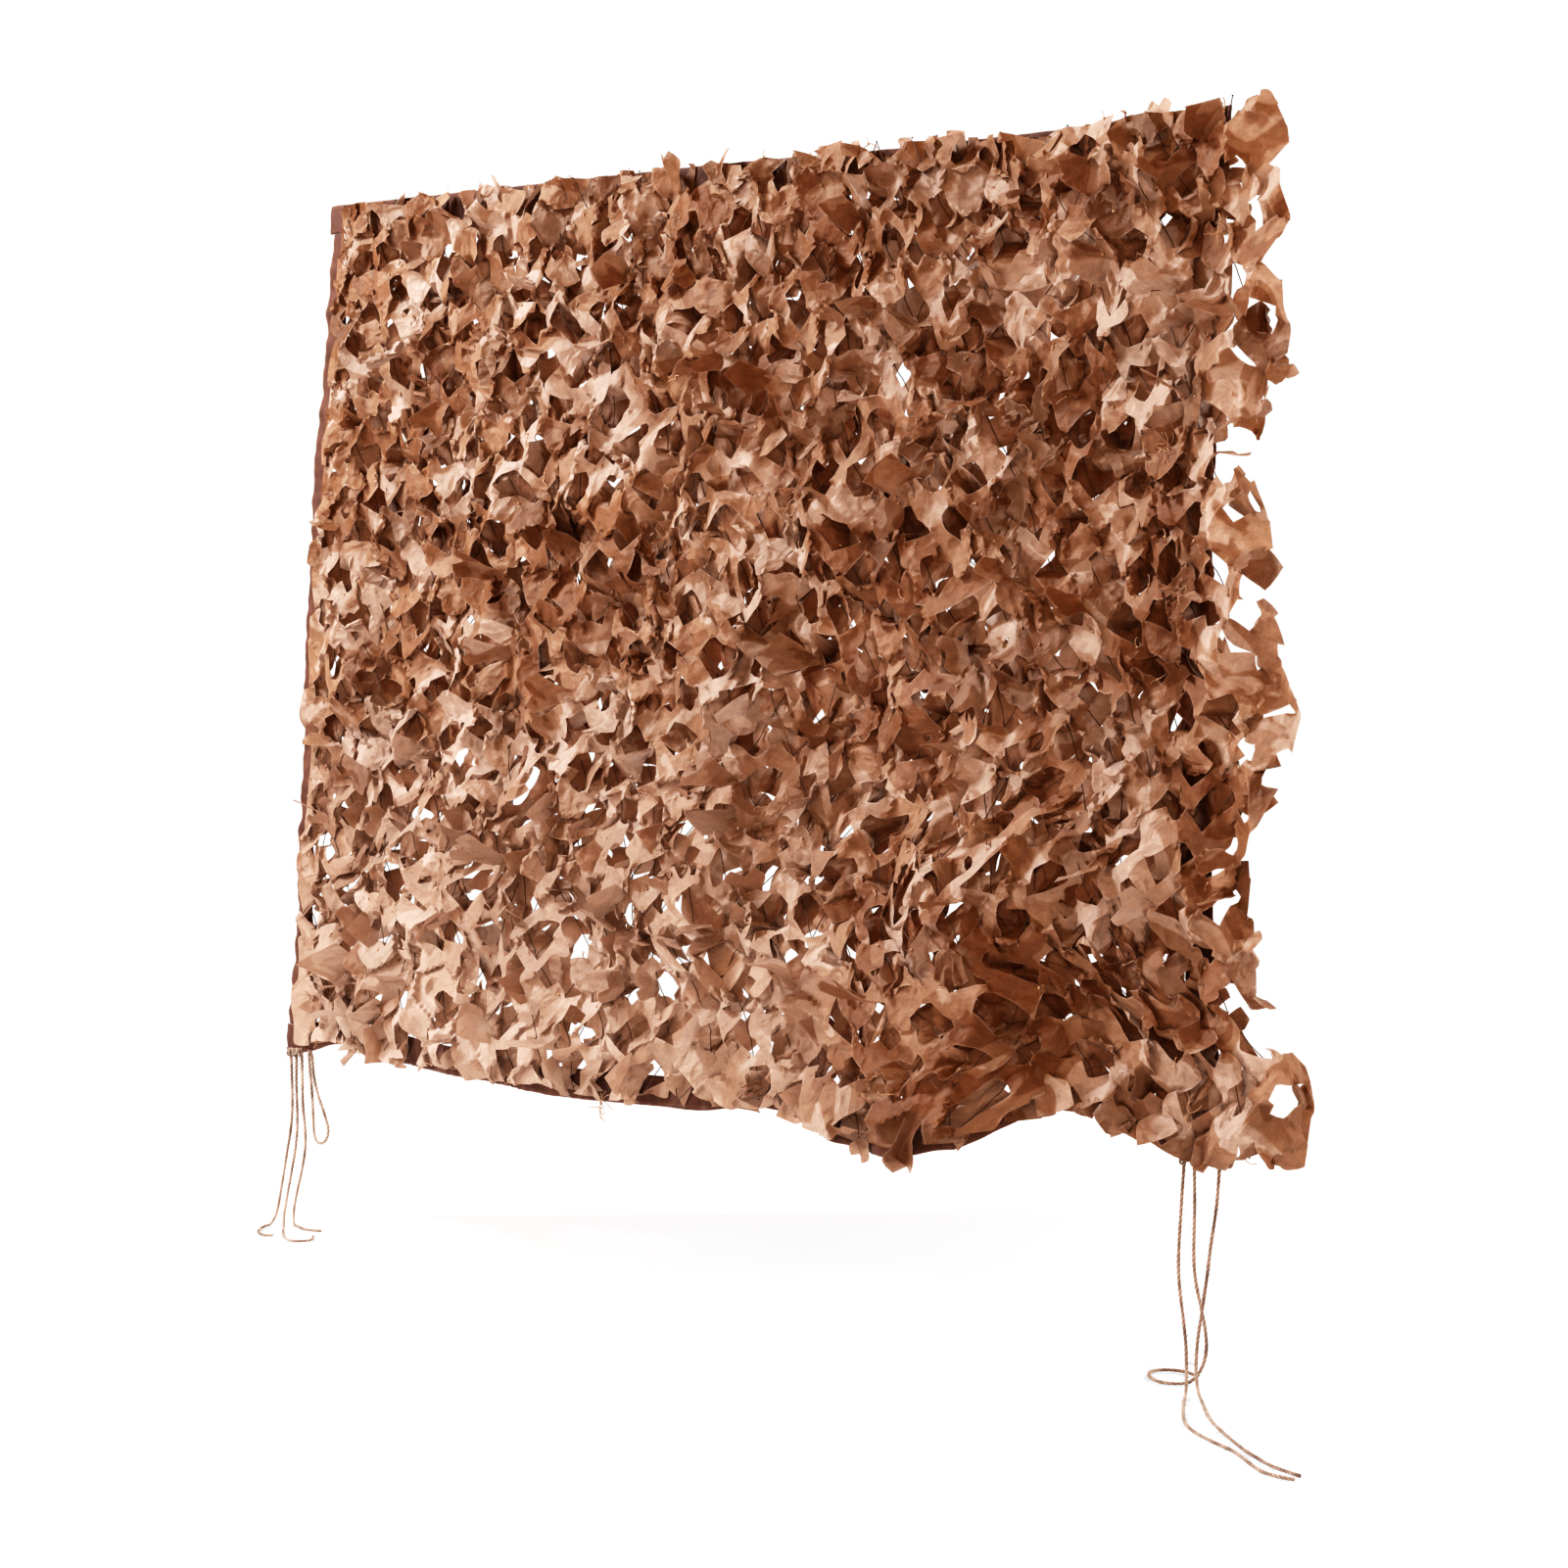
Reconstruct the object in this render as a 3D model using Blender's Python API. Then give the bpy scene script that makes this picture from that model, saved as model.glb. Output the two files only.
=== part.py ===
"""Camouflage netting: a leaf-cut cloth on four border bands, hung by its top edge, with jute corner ties.

Metres, +Z up. X runs across the net, its front faces -Y, and the origin is the middle of its top edge.
A point of the hung cloth is named by x and by its drop, the way down the flat cloth from the top edge.
"""

import math
import random

import bpy
from mathutils import Vector
from mathutils.geometry import delaunay_2d_cdt

# Driving sizes
HEIGHT = 1.50
FLOOR_Z = -1.81
CLOTH_THICK = 0.0018
BAND_WIDE = 0.050
BAND_THICK = 0.0016
BAND_GAP = 0.0003
BAND_END_GAP = 0.0010
BAND_STEPS = {"top": 24, "bottom": 56, "side": 20}
CORD_THICK = 0.005

# The hem, from left to right: where it is, how far down, and how far it swings out to the front
HEM = (
    # x, drop, forward
    (-1.13, 1.508, 0.000),
    (-1.08, 1.507, 0.005),
    (-0.905, 1.498, 0.030),
    (-0.738, 1.508, 0.070),
    (-0.489, 1.504, 0.110),
    (-0.229, 1.500, 0.150),
    (0.094, 1.484, 0.160),
    (0.223, 1.468, 0.140),
    (0.315, 1.475, 0.150),
    (0.423, 1.500, 0.180),
    (0.539, 1.508, 0.195),
    (0.636, 1.489, 0.170),
    (0.718, 1.440, 0.075),
    (0.777, 1.420, 0.030),
    (0.851, 1.448, 0.008),
    (0.922, 1.490, 0.000),
    (1.16, 1.492, 0.000),
)
SWING_FROM = 0.86
SWING_PAST_HEM = 0.1
HEM_LIFT_POWER = 4

# The side edges, from the top down
LEFT_EDGE = (
    # drop, x
    (0.00, -0.957),
    (0.22, -0.972),
    (0.53, -1.003),
    (0.88, -1.033),
    (1.20, -1.062),
    (1.50, -1.098),
)
RIGHT_EDGE = (
    # drop, x
    (0.00, 1.075),
    (0.35, 1.068),
    (0.55, 1.042),
    (0.80, 1.070),
    (1.10, 1.025),
    (1.38, 1.105),
    (1.50, 1.060),
)
RIGHT_BAND_X = 0.945
TOP_BAND_ENDS = (-0.969, 1.004)
HEM_BAND_ENDS = (-1.104, 1.010)

# Soft waves over the cloth between its top edge and its hem
WAVES = (
    # depth, waves per metre across, turns per metre down, turn at the origin
    (0.010, 0.75, 0.35, 0.10),
    (0.006, 1.90, -0.30, 0.35),
    (0.004, 3.10, 0.55, 0.70),
)

# The leaf cuts: one row for each station along a leaf, from its hinge
COLUMN_PITCH = 0.136
ROW_PITCH = 0.117
CUT_SIZES = (1.0, 0.78, 0.6, 0.5)
END_CUT = 0.30
PLACE_JITTER = 0.008
QUARTER_TURNS = (0, 0, 1, 2, 3)
TURN_JITTER = 20
LEAF = (
    # along the leaf, half width of the cut, half width of the leaf, least and most lift of the cut's rim
    (0.000, 0.018, 0.018, 0.55, 1.00),
    (0.032, 0.047, 0.041, 0.25, 0.85),
    (0.066, 0.031, 0.022, 0.05, 0.55),
)
LEAF_TIP = 0.092
LEAF_CENTRE = 0.044
LEAF_BEND = (24, 58)
LEAF_CURL = (8, 30)
LEAF_MOST_BEND = 80
LEAF_LEAN = 0.25
TIP_LIFT = (0.0, 0.25)
BACKWARD_SHARE = 0.30
BACKWARD_FROM_BAND = 0.055
FRONT_CLEAR = 0.0030
RELIEF = 0.026
EDGE_RELIEF = 0.008
HEM_CLEAR = 0.008
EDGE_STEP = 0.044
EDGE_SLIP = 0.25
EDGE_JITTER = 0.005
CORNER_IN = 0.02
CORNER_SKIP = 0.05
RIGHT_EDGE_SKIP = 0.012
EDGE_MARGIN = 0.009
SEED = 7

# How far the cloth's edge stands past the outline at its points, and falls short between them
EDGE_POINTS = (
    # along the edge, point, valley
    ("top", -0.96, -0.016, -0.024),
    ("top", -0.45, -0.014, -0.024),
    ("top", -0.25, 0.014, -0.014),
    ("top", 1.10, 0.020, -0.012),
    ("bottom", -1.10, -0.006, -0.020),
    ("bottom", -0.75, 0.004, -0.016),
    ("bottom", -0.55, -0.018, -0.034),
    ("bottom", -0.10, -0.010, -0.028),
    ("bottom", 0.30, 0.004, -0.020),
    ("bottom", 0.55, -0.006, -0.026),
    ("bottom", 0.72, -0.020, -0.036),
    ("bottom", 0.82, 0.014, -0.012),
    ("bottom", 1.10, 0.012, -0.014),
    ("left", 0.00, -0.012, -0.022),
    ("left", 1.50, -0.012, -0.024),
    ("right", 0.00, 0.030, -0.006),
    ("right", 0.90, 0.028, -0.008),
    ("right", 1.50, 0.034, -0.006),
)

# The ties' routes. A free end lies on the floor, its middle half a cord's thickness over it.
ON_FLOOR = FLOOR_Z + CORD_THICK / 2
CORD_STEP = 3 * CORD_THICK
ROUTE_STEPS = 20
ROUTES = {
    "tie_right_outer": (
        (0.931, 0.001, -1.4905),
        (0.928, -0.002, -1.560),
        (0.926, -0.005, -1.633),
        (0.931, -0.008, -1.676),
        (0.942, -0.014, -1.715),
        (0.955, -0.024, -1.753),
        (0.970, -0.042, -1.787),
        (0.991, -0.070, -1.804),
        (1.026, -0.120, ON_FLOOR),
        (1.066, -0.173, ON_FLOOR),
        (1.106, -0.220, ON_FLOOR),
        (1.147, -0.253, ON_FLOOR),
        (1.195, -0.280, ON_FLOOR),
        (1.250, -0.306, ON_FLOOR),
        (1.296, -0.338, ON_FLOOR),
        (1.336, -0.366, ON_FLOOR),
        (1.368, -0.379, ON_FLOOR),
        (1.403, -0.380, ON_FLOOR),
    ),
    "tie_right_middle": (
        (0.949, 0.001, -1.4905),
        (0.946, 0.006, -1.560),
        (0.939, 0.014, -1.633),
        (0.939, 0.020, -1.671),
        (0.945, 0.024, -1.706),
        (0.953, 0.024, -1.739),
        (0.957, 0.020, -1.769),
        (0.955, 0.008, -1.794),
        (0.950, -0.010, -1.8065),
        (0.941, -0.026, ON_FLOOR),
        (0.922, -0.034, ON_FLOOR),
        (0.897, -0.026, ON_FLOOR),
        (0.873, -0.004, ON_FLOOR),
        (0.862, 0.020, ON_FLOOR),
        (0.873, 0.040, ON_FLOOR),
        (0.897, 0.047, ON_FLOOR),
        (0.919, 0.040, ON_FLOOR),
    ),
    "tie_right_inner": (
        (0.994, 0.001, -1.4909),
        (0.992, -0.003, -1.548),
        (0.985, -0.007, -1.607),
        (0.981, -0.011, -1.655),
        (0.978, -0.018, -1.702),
        (0.980, -0.030, -1.742),
        (0.990, -0.046, -1.776),
        (1.014, -0.072, -1.800),
        (1.052, -0.110, ON_FLOOR),
        (1.093, -0.155, ON_FLOOR),
        (1.136, -0.196, ON_FLOOR),
        (1.192, -0.241, ON_FLOOR),
        (1.240, -0.278, ON_FLOOR),
        (1.286, -0.309, ON_FLOOR),
        (1.340, -0.340, ON_FLOOR),
        (1.396, -0.358, ON_FLOOR),
    ),
    "tie_left_outer": (
        (-1.093, -0.003, -1.5077),
        (-1.090, -0.004, -1.561),
        (-1.088, -0.005, -1.605),
        (-1.090, -0.007, -1.645),
        (-1.095, -0.011, -1.684),
        (-1.096, -0.018, -1.721),
        (-1.093, -0.029, -1.759),
        (-1.084, -0.045, -1.792),
        (-1.066, -0.072, ON_FLOOR),
        (-1.049, -0.100, ON_FLOOR),
        (-1.030, -0.126, ON_FLOOR),
        (-1.006, -0.148, ON_FLOOR),
        (-0.980, -0.158, ON_FLOOR),
        (-0.962, -0.150, ON_FLOOR),
    ),
    "tie_left_middle": (
        (-1.076, -0.004, -1.5075),
        (-1.076, -0.005, -1.560),
        (-1.072, -0.007, -1.603),
        (-1.066, -0.012, -1.645),
        (-1.061, -0.021, -1.682),
        (-1.055, -0.035, -1.722),
        (-1.046, -0.051, -1.757),
        (-1.030, -0.071, -1.788),
        (-1.003, -0.094, ON_FLOOR + 0.0030),
        (-0.970, -0.122, ON_FLOOR),
        (-0.936, -0.146, ON_FLOOR),
        (-0.903, -0.160, ON_FLOOR),
        (-0.880, -0.152, ON_FLOOR),
        (-0.880, -0.130, ON_FLOOR),
        (-0.903, -0.108, ON_FLOOR),
    ),
    "tie_left_inner": (
        (-1.060, -0.005, -1.5072),
        (-1.060, -0.004, -1.559),
        (-1.060, -0.003, -1.603),
        (-1.056, -0.002, -1.643),
        (-1.053, -0.004, -1.677),
        (-1.056, -0.009, -1.716),
        (-1.060, -0.017, -1.754),
        (-1.055, -0.029, -1.787),
        (-1.034, -0.046, ON_FLOOR),
        (-1.003, -0.062, ON_FLOOR),
        (-0.968, -0.071, ON_FLOOR),
        (-0.938, -0.062, ON_FLOOR),
    ),
    "tie_left_loop": (
        (-1.026, -0.0095, -1.5056),
        (-1.022, -0.008, -1.547),
        (-1.012, -0.006, -1.581),
        (-0.998, -0.003, -1.614),
        (-0.990, -0.002, -1.640),
        (-0.998, -0.001, -1.658),
        (-1.014, 0.001, -1.666),
        (-1.030, 0.003, -1.663),
        (-1.039, 0.005, -1.648),
        (-1.042, 0.006, -1.623),
        (-1.040, 0.003, -1.596),
        (-1.038, -0.001, -1.565),
        (-1.037, -0.005, -1.535),
        (-1.037, -0.0075, -1.5063),
    ),
}

# Colours are linear: red, green, blue
LEAF_BROWN = (0.36, 0.17, 0.09)
BAND_BROWN = (0.10, 0.045, 0.030)
JUTE = (0.55, 0.36, 0.21)


def blend(rows, at, column):
    """The column's value at the given place of a table, eased between its rows."""
    if at <= rows[0][0]:
        return rows[0][column]
    for low, high in zip(rows, rows[1:]):
        if at <= high[0]:
            part = (at - low[0]) / (high[0] - low[0])
            ease = part * part * (3 - 2 * part)
            return low[column] + (high[column] - low[column]) * ease
    return rows[-1][column]


def swing(drop):
    """From 0 where the cloth hangs plumb to 1 at the hem."""
    part = max((drop - SWING_FROM) / (HEIGHT - SWING_FROM), 0.0)
    return part * part * (3 - 2 * part) if part < 1 else 1.0 + SWING_PAST_HEM * (part - 1)


def on_cloth(x, drop):
    """A point of the hung cloth's back plane."""
    waves = sum(
        depth * (1 + math.sin(math.tau * (across * x + down * drop + turn)))
        for depth, across, down, turn in WAVES
    )
    waves *= max(math.sin(math.pi * drop / HEIGHT), 0)
    y = -blend(HEM, x, 2) * swing(drop) - waves
    lift = (blend(HEM, x, 1) - HEIGHT) * max(drop / HEIGHT, 0) ** HEM_LIFT_POWER
    return Vector((x, y, -drop - lift))


def off_cloth(x, drop, out):
    """A point that stands out from the cloth's back plane, to the front where out is above 0."""
    step = 0.01
    across = on_cloth(x + step, drop) - on_cloth(x - step, drop)
    down = on_cloth(x, drop + step) - on_cloth(x, drop - step)
    return on_cloth(x, drop) + down.cross(across).normalized() * out


def finish(obj, colour, roughness):
    """Puts the object in the scene with a material of its own."""
    material = bpy.data.materials.new(obj.name)
    material.use_nodes = True
    shader = material.node_tree.nodes["Principled BSDF"]
    shader.inputs["Base Color"].default_value = (*colour, 1)
    shader.inputs["Roughness"].default_value = roughness
    shader.inputs["Metallic"].default_value = 0
    obj.data.materials.append(material)
    bpy.context.scene.collection.objects.link(obj)
    return obj


def sheet(name, points, faces, thickness, colour):
    """A thin closed cloth on both sides of the given surface."""
    mesh = bpy.data.meshes.new(name)
    mesh.from_pydata(points, [], faces)
    obj = finish(bpy.data.objects.new(name, mesh), colour, 0.75)
    wall = obj.modifiers.new("thickness", "SOLIDIFY")
    wall.thickness = thickness
    wall.offset = 0
    return obj


def edge_reach(side, along, is_point):
    """How far a corner of the pointed edge stands past the outline there."""
    rows = [row[1:] for row in EDGE_POINTS if row[0] == side]
    return blend(rows, along, 1 if is_point else 2)


def outline(draw):
    """The pointed outer edge of the leaf cloth, as x and drop, clockwise from its top left corner."""
    points = []

    def run(side, start, end, place):
        steps = 2 * round(abs(end - start) / EDGE_STEP / 2)
        for k in range(steps):
            slip = draw.uniform(-EDGE_SLIP, EDGE_SLIP) if k else 0
            along = start + (end - start) * (k + slip) / steps
            reach = edge_reach(side, along, k % 2 == 1) + draw.uniform(-EDGE_JITTER, EDGE_JITTER)
            points.append(place(along, reach))

    def place_left(along, reach):
        return (blend(LEFT_EDGE, along, 1) - reach, along)

    def place_right(along, reach):
        return (blend(RIGHT_EDGE, along, 1) + reach, along)

    def place_top(along, reach):
        return (along, -reach)

    def place_bottom(along, reach):
        return (along, HEIGHT + reach)

    run("top", LEFT_EDGE[0][1] + CORNER_IN, RIGHT_EDGE[0][1], place_top)
    run("right", RIGHT_EDGE_SKIP, HEIGHT - RIGHT_EDGE_SKIP, place_right)
    run("bottom", RIGHT_EDGE[-1][1], LEFT_EDGE[-1][1] + CORNER_IN, place_bottom)
    run("left", HEIGHT - CORNER_SKIP, CORNER_SKIP, place_left)
    return points


def inside(point, loop, margin):
    """Whether the point lies in the loop, at least the margin from its edges."""
    x, y = point
    crossings = 0
    for (ax, ay), (bx, by) in zip(loop, loop[1:] + loop[:1]):
        if (ay > y) != (by > y) and x < ax + (y - ay) * (bx - ax) / (by - ay):
            crossings += 1
        along = Vector((bx - ax, by - ay))
        part = min(max(Vector((x - ax, y - ay)).dot(along) / along.length_squared, 0), 1)
        if (Vector((x - ax, y - ay)) - along * part).length < margin:
            return False
    return crossings % 2 == 1


def cut_places(edge, draw):
    """Centre, turn and size of every leaf cut, in staggered rows. Near the edge the cuts are smaller."""
    rows = int(HEIGHT / ROW_PITCH)
    top = (HEIGHT - (rows - 1) * ROW_PITCH) / 2
    places = []
    for row in range(rows):
        level = top + row * ROW_PITCH
        left, right = blend(LEFT_EDGE, level, 1), blend(RIGHT_EDGE, level, 1)
        columns = round((right - left) / COLUMN_PITCH)
        for column in range(columns + row % 2):
            step = (column + 0.5 - 0.5 * (row % 2)) / columns
            step = min(max(step, END_CUT / columns), 1 - END_CUT / columns)
            x = left + (right - left) * step + draw.uniform(-PLACE_JITTER, PLACE_JITTER)
            drop = level + draw.uniform(-PLACE_JITTER, PLACE_JITTER)
            turn = math.radians(90 * draw.choice(QUARTER_TURNS) + draw.uniform(-TURN_JITTER, TURN_JITTER))
            for size in CUT_SIZES:
                place = (x, drop, turn, size)
                if all(inside(corner, edge, EDGE_MARGIN) for corner in cut_loop(place)):
                    places.append(place)
                    break
    return places


def turned(place, side, along):
    """A point of a cut, from its own frame to x and drop. A cut with no turn hangs from its top."""
    x, drop, turn, size = place
    side, along = side * size, (along - LEAF_CENTRE) * size
    return (
        x + side * math.cos(turn) + along * math.sin(turn),
        drop - side * math.sin(turn) + along * math.cos(turn),
    )


def cut_loop(place):
    """The corners of one cut: the two ends of its hinge first, then round by its tip."""
    right = [turned(place, row[1], row[0]) for row in LEAF]
    left = [turned(place, -row[1], row[0]) for row in LEAF]
    return [left[0], *right, turned(place, 0, LEAF_TIP), *reversed(left[1:])]


def cut_lifts(draw):
    """How far each corner of a cut stands out: most at the leaf's hinge, least by its tip."""
    right = [draw.uniform(row[3], row[4]) for row in LEAF]
    left = [draw.uniform(row[3], row[4]) for row in LEAF]
    shares = [left[0], *right, draw.uniform(*TIP_LIFT), *reversed(left[1:])]
    return [FRONT_CLEAR + RELIEF * share for share in shares]


def over_band(x, drop):
    """Whether a leaf there would meet a border band if it bent to the back."""
    clear = BAND_WIDE + BACKWARD_FROM_BAND
    inner_left = blend(LEFT_EDGE, drop, 1) + clear
    beyond = abs(x - RIGHT_BAND_X - BAND_WIDE / 2) < clear or x < inner_left
    return beyond or not clear < drop < HEIGHT - clear


def leaf_rows(place, hinge_out, draw):
    """The free rows of one leaf, which bends out of its cut: pairs of points, then its tip."""
    side = -1 if draw.random() < BACKWARD_SHARE and not over_band(*place[:2]) else 1
    angle = math.radians(draw.uniform(*LEAF_BEND))
    curl = math.radians(draw.uniform(*LEAF_CURL))
    lean = draw.uniform(-LEAF_LEAN, LEAF_LEAN)
    stations = [(row[0], row[2]) for row in LEAF] + [(LEAF_TIP, 0)]
    reach, out, rows = 0.0, 0.0, []
    for (start, _), (end, wide) in zip(stations, stations[1:]):
        reach += (end - start) * math.cos(angle)
        out += (end - start) * math.sin(angle) * place[3]
        angle = min(angle + curl, math.radians(LEAF_MOST_BEND))
        row = []
        for half in (-wide, wide) if wide else (0,):
            row.append(off_cloth(*turned(place, half, reach), hinge_out + side * out + half * lean))
        rows.append(row)
    return rows


def cut_cloth(loops, lifts):
    """Triangles of a cloth between its edge, the first loop, and its cuts, the other loops."""
    flat = [Vector(corner) for loop in loops for corner in loop]
    owner = [k for k, loop in enumerate(loops) for _ in loop]
    links, first = [], 0
    for loop in loops:
        links += [(first + k, first + (k + 1) % len(loop)) for k in range(len(loop))]
        first += len(loop)
    places, _, triangles, source, _, _ = delaunay_2d_cdt(flat, links, [], 1, 1e-7)
    given = [ids[0] for ids in source]
    points = [None] * len(flat)
    for place, k in zip(places, given):
        points[k] = off_cloth(*place, lifts[k])
    faces = []
    for corners in triangles:
        a, b, c = (given[k] for k in corners)
        if owner[a] == owner[b] == owner[c] != 0:
            continue
        turn = (flat[b] - flat[a]).cross(flat[c] - flat[a])
        faces.append((a, b, c) if turn < 0 else (a, c, b))
    return points, faces


def leaf_cloth():
    """One cloth with its pointed edge, its cuts, and a bent leaf still hinged in each cut."""
    draw = random.Random(SEED)
    edge = outline(draw)
    places = cut_places(edge, draw)
    lifts = [
        FRONT_CLEAR + EDGE_RELIEF * draw.random() + HEM_CLEAR * (drop > HEIGHT - BAND_WIDE)
        for _, drop in edge
    ]
    for _ in places:
        lifts += cut_lifts(draw)
    points, faces = cut_cloth([edge] + [cut_loop(place) for place in places], lifts)
    for k, place in enumerate(places):
        left = len(edge) + k * (2 * len(LEAF) + 1)
        right = left + 1
        for row in leaf_rows(place, (lifts[left] + lifts[right]) / 2, draw):
            new = range(len(points), len(points) + len(row))
            points += row
            faces.append((right, left, *new))
            left, right = new[0], new[-1]
    return sheet("leaf_cloth", points, faces, CLOTH_THICK, LEAF_BROWN)


def band(name, rail, steps):
    """A flat border band behind the leaf cloth. rail gives its outer and inner point, from 0 to 1."""
    points, faces = [], []
    behind = -BAND_THICK / 2 - BAND_GAP
    for k in range(steps + 1):
        for x, drop in rail(k / steps):
            points.append(off_cloth(x, drop, behind))
    for k in range(steps):
        faces.append((2 * k, 2 * k + 1, 2 * k + 3, 2 * k + 2))
    return sheet(name, points, faces, BAND_THICK, BAND_BROWN)


def bands():
    """The four border bands. The side bands end just short of the top and bottom ones."""
    clear = BAND_WIDE + BAND_END_GAP

    def top_rail(part):
        x = TOP_BAND_ENDS[0] + (TOP_BAND_ENDS[1] - TOP_BAND_ENDS[0]) * part
        return (x, BAND_WIDE), (x, 0.0)

    def bottom_rail(part):
        x = HEM_BAND_ENDS[0] + (HEM_BAND_ENDS[1] - HEM_BAND_ENDS[0]) * part
        return (x, HEIGHT), (x, HEIGHT - BAND_WIDE)

    def left_rail(part):
        drop = clear + (HEIGHT - 2 * clear) * part
        x = blend(LEFT_EDGE, drop, 1)
        return (x, drop), (x + BAND_WIDE, drop)

    def right_rail(part):
        drop = clear + (HEIGHT - 2 * clear) * part
        return (RIGHT_BAND_X, drop), (RIGHT_BAND_X + BAND_WIDE, drop)

    band("band_top", top_rail, BAND_STEPS["top"])
    band("band_bottom", bottom_rail, BAND_STEPS["bottom"])
    band("band_left", left_rail, BAND_STEPS["side"])
    band("band_right", right_rail, BAND_STEPS["side"])


def smooth_route(route, step):
    """Evenly spaced points on a smooth curve through the route's own points."""
    spots = [Vector(point) for point in route]
    spots = [2 * spots[0] - spots[1], *spots, 2 * spots[-1] - spots[-2]]
    fine = []
    for before, start, end, after in zip(spots, spots[1:], spots[2:], spots[3:]):
        for k in range(ROUTE_STEPS):
            t = k / ROUTE_STEPS
            fine.append(
                0.5 * (2 * start + (end - before) * t
                       + (2 * before - 5 * start + 4 * end - after) * t * t
                       + (3 * start - before - 3 * end + after) * t ** 3)
            )
    fine.append(spots[-2])
    total = sum((b - a).length for a, b in zip(fine, fine[1:]))
    wanted = total / round(total / step)
    points, gone = [fine[0]], 0.0
    for a, b in zip(fine, fine[1:]):
        length = (b - a).length
        while gone + length >= wanted * len(points) and len(points) < round(total / step):
            points.append(a.lerp(b, (wanted * len(points) - gone) / length))
        gone += length
    return points + [fine[-1]]


def cord(name, route):
    """A round jute tie along its route."""
    curve = bpy.data.curves.new(name, "CURVE")
    curve.dimensions = "3D"
    curve.bevel_depth = CORD_THICK / 2
    curve.bevel_resolution = 2
    curve.use_fill_caps = True
    points = smooth_route(route, CORD_STEP)
    spline = curve.splines.new("POLY")
    spline.points.add(len(points) - 1)
    for knot, place in zip(spline.points, points):
        knot.co = (*place, 1)
    return finish(bpy.data.objects.new(name, curve), JUTE, 0.9)


def main():
    for obj in list(bpy.data.objects):
        bpy.data.objects.remove(obj)
    leaf_cloth()
    bands()
    for name, route in ROUTES.items():
        cord(name, route)


main()
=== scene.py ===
"""Looks of a hung leaf-cut camouflage net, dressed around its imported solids.

Metres, +Z up. X runs across the net, its front faces -Y, and the origin is the middle of its top edge.
A point of the hung cloth is named by x and by its drop, the way down from the top edge. A point of the
leaf cloth before it is hung is named by u, across, and v, down.
"""

import math

import bpy
import numpy as np
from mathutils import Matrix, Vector
from mathutils.geometry import delaunay_2d_cdt
from mathutils.kdtree import KDTree


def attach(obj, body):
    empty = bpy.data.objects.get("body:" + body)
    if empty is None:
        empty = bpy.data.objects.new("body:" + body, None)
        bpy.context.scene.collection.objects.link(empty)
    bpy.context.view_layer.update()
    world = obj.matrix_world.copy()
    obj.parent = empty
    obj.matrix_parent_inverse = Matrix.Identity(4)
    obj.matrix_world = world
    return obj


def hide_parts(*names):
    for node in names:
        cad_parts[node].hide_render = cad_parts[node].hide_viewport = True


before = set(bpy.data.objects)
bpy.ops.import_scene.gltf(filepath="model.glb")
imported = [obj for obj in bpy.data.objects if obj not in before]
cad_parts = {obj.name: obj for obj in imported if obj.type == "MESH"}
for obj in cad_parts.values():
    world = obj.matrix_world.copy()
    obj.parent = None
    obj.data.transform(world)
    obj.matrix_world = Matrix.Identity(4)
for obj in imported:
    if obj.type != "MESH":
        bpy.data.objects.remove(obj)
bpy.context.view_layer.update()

bl_info = {
    "name": "Camouflage netting",
    "version": (1, 0, 0),
    "blender": (4, 5, 0),
    "location": "3D View > Sidebar > Netting",
    "description": "Leaf cloth, string mesh, border bands and jute ties of a hung camouflage net",
    "category": "Add Mesh",
}

# The hung surface, close to its solids
HEIGHT = 1.50
FLOOR_Z = -1.81
BAND_WIDE = 0.050
BAND_THICK = 0.0016
BAND_GAP = 0.0003
BAND_END_GAP = 0.0003
RIGHT_BAND_X = 0.945
TOP_BAND_ENDS = (-0.969, 1.004)
HEM_BAND_ENDS = (-1.104, 1.010)

HEM = (
    # x, drop, forward
    (-1.13, 1.508, 0.000), (-1.08, 1.507, 0.005), (-0.905, 1.476, 0.030), (-0.738, 1.488, 0.070),
    (-0.489, 1.491, 0.110), (-0.229, 1.493, 0.150), (0.094, 1.484, 0.160), (0.223, 1.468, 0.140),
    (0.315, 1.475, 0.150), (0.423, 1.500, 0.180), (0.539, 1.508, 0.195), (0.636, 1.489, 0.170),
    (0.718, 1.440, 0.075), (0.777, 1.420, 0.030), (0.851, 1.448, 0.008), (0.922, 1.490, 0.000),
    (1.16, 1.492, 0.000),
)
SWING_FROM = 0.86
SWING_PAST_HEM = 0.1
HEM_LIFT_POWER = 4
LEFT_EDGE = (
    # drop, x
    (0.00, -0.957), (0.22, -0.972), (0.53, -1.003), (0.88, -1.033), (1.20, -1.062), (1.50, -1.098),
)
RIGHT_EDGE = (
    # drop, x
    (0.00, 1.075), (0.35, 1.068), (0.55, 1.042), (0.80, 1.070), (1.10, 1.025), (1.38, 1.105), (1.50, 1.060),
)
WAVES = (
    # depth, waves per metre across, turns per metre down, turn at the origin
    (0.010, 0.75, 0.35, 0.10), (0.006, 1.90, -0.30, 0.35), (0.004, 3.10, 0.55, 0.70),
)

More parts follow.
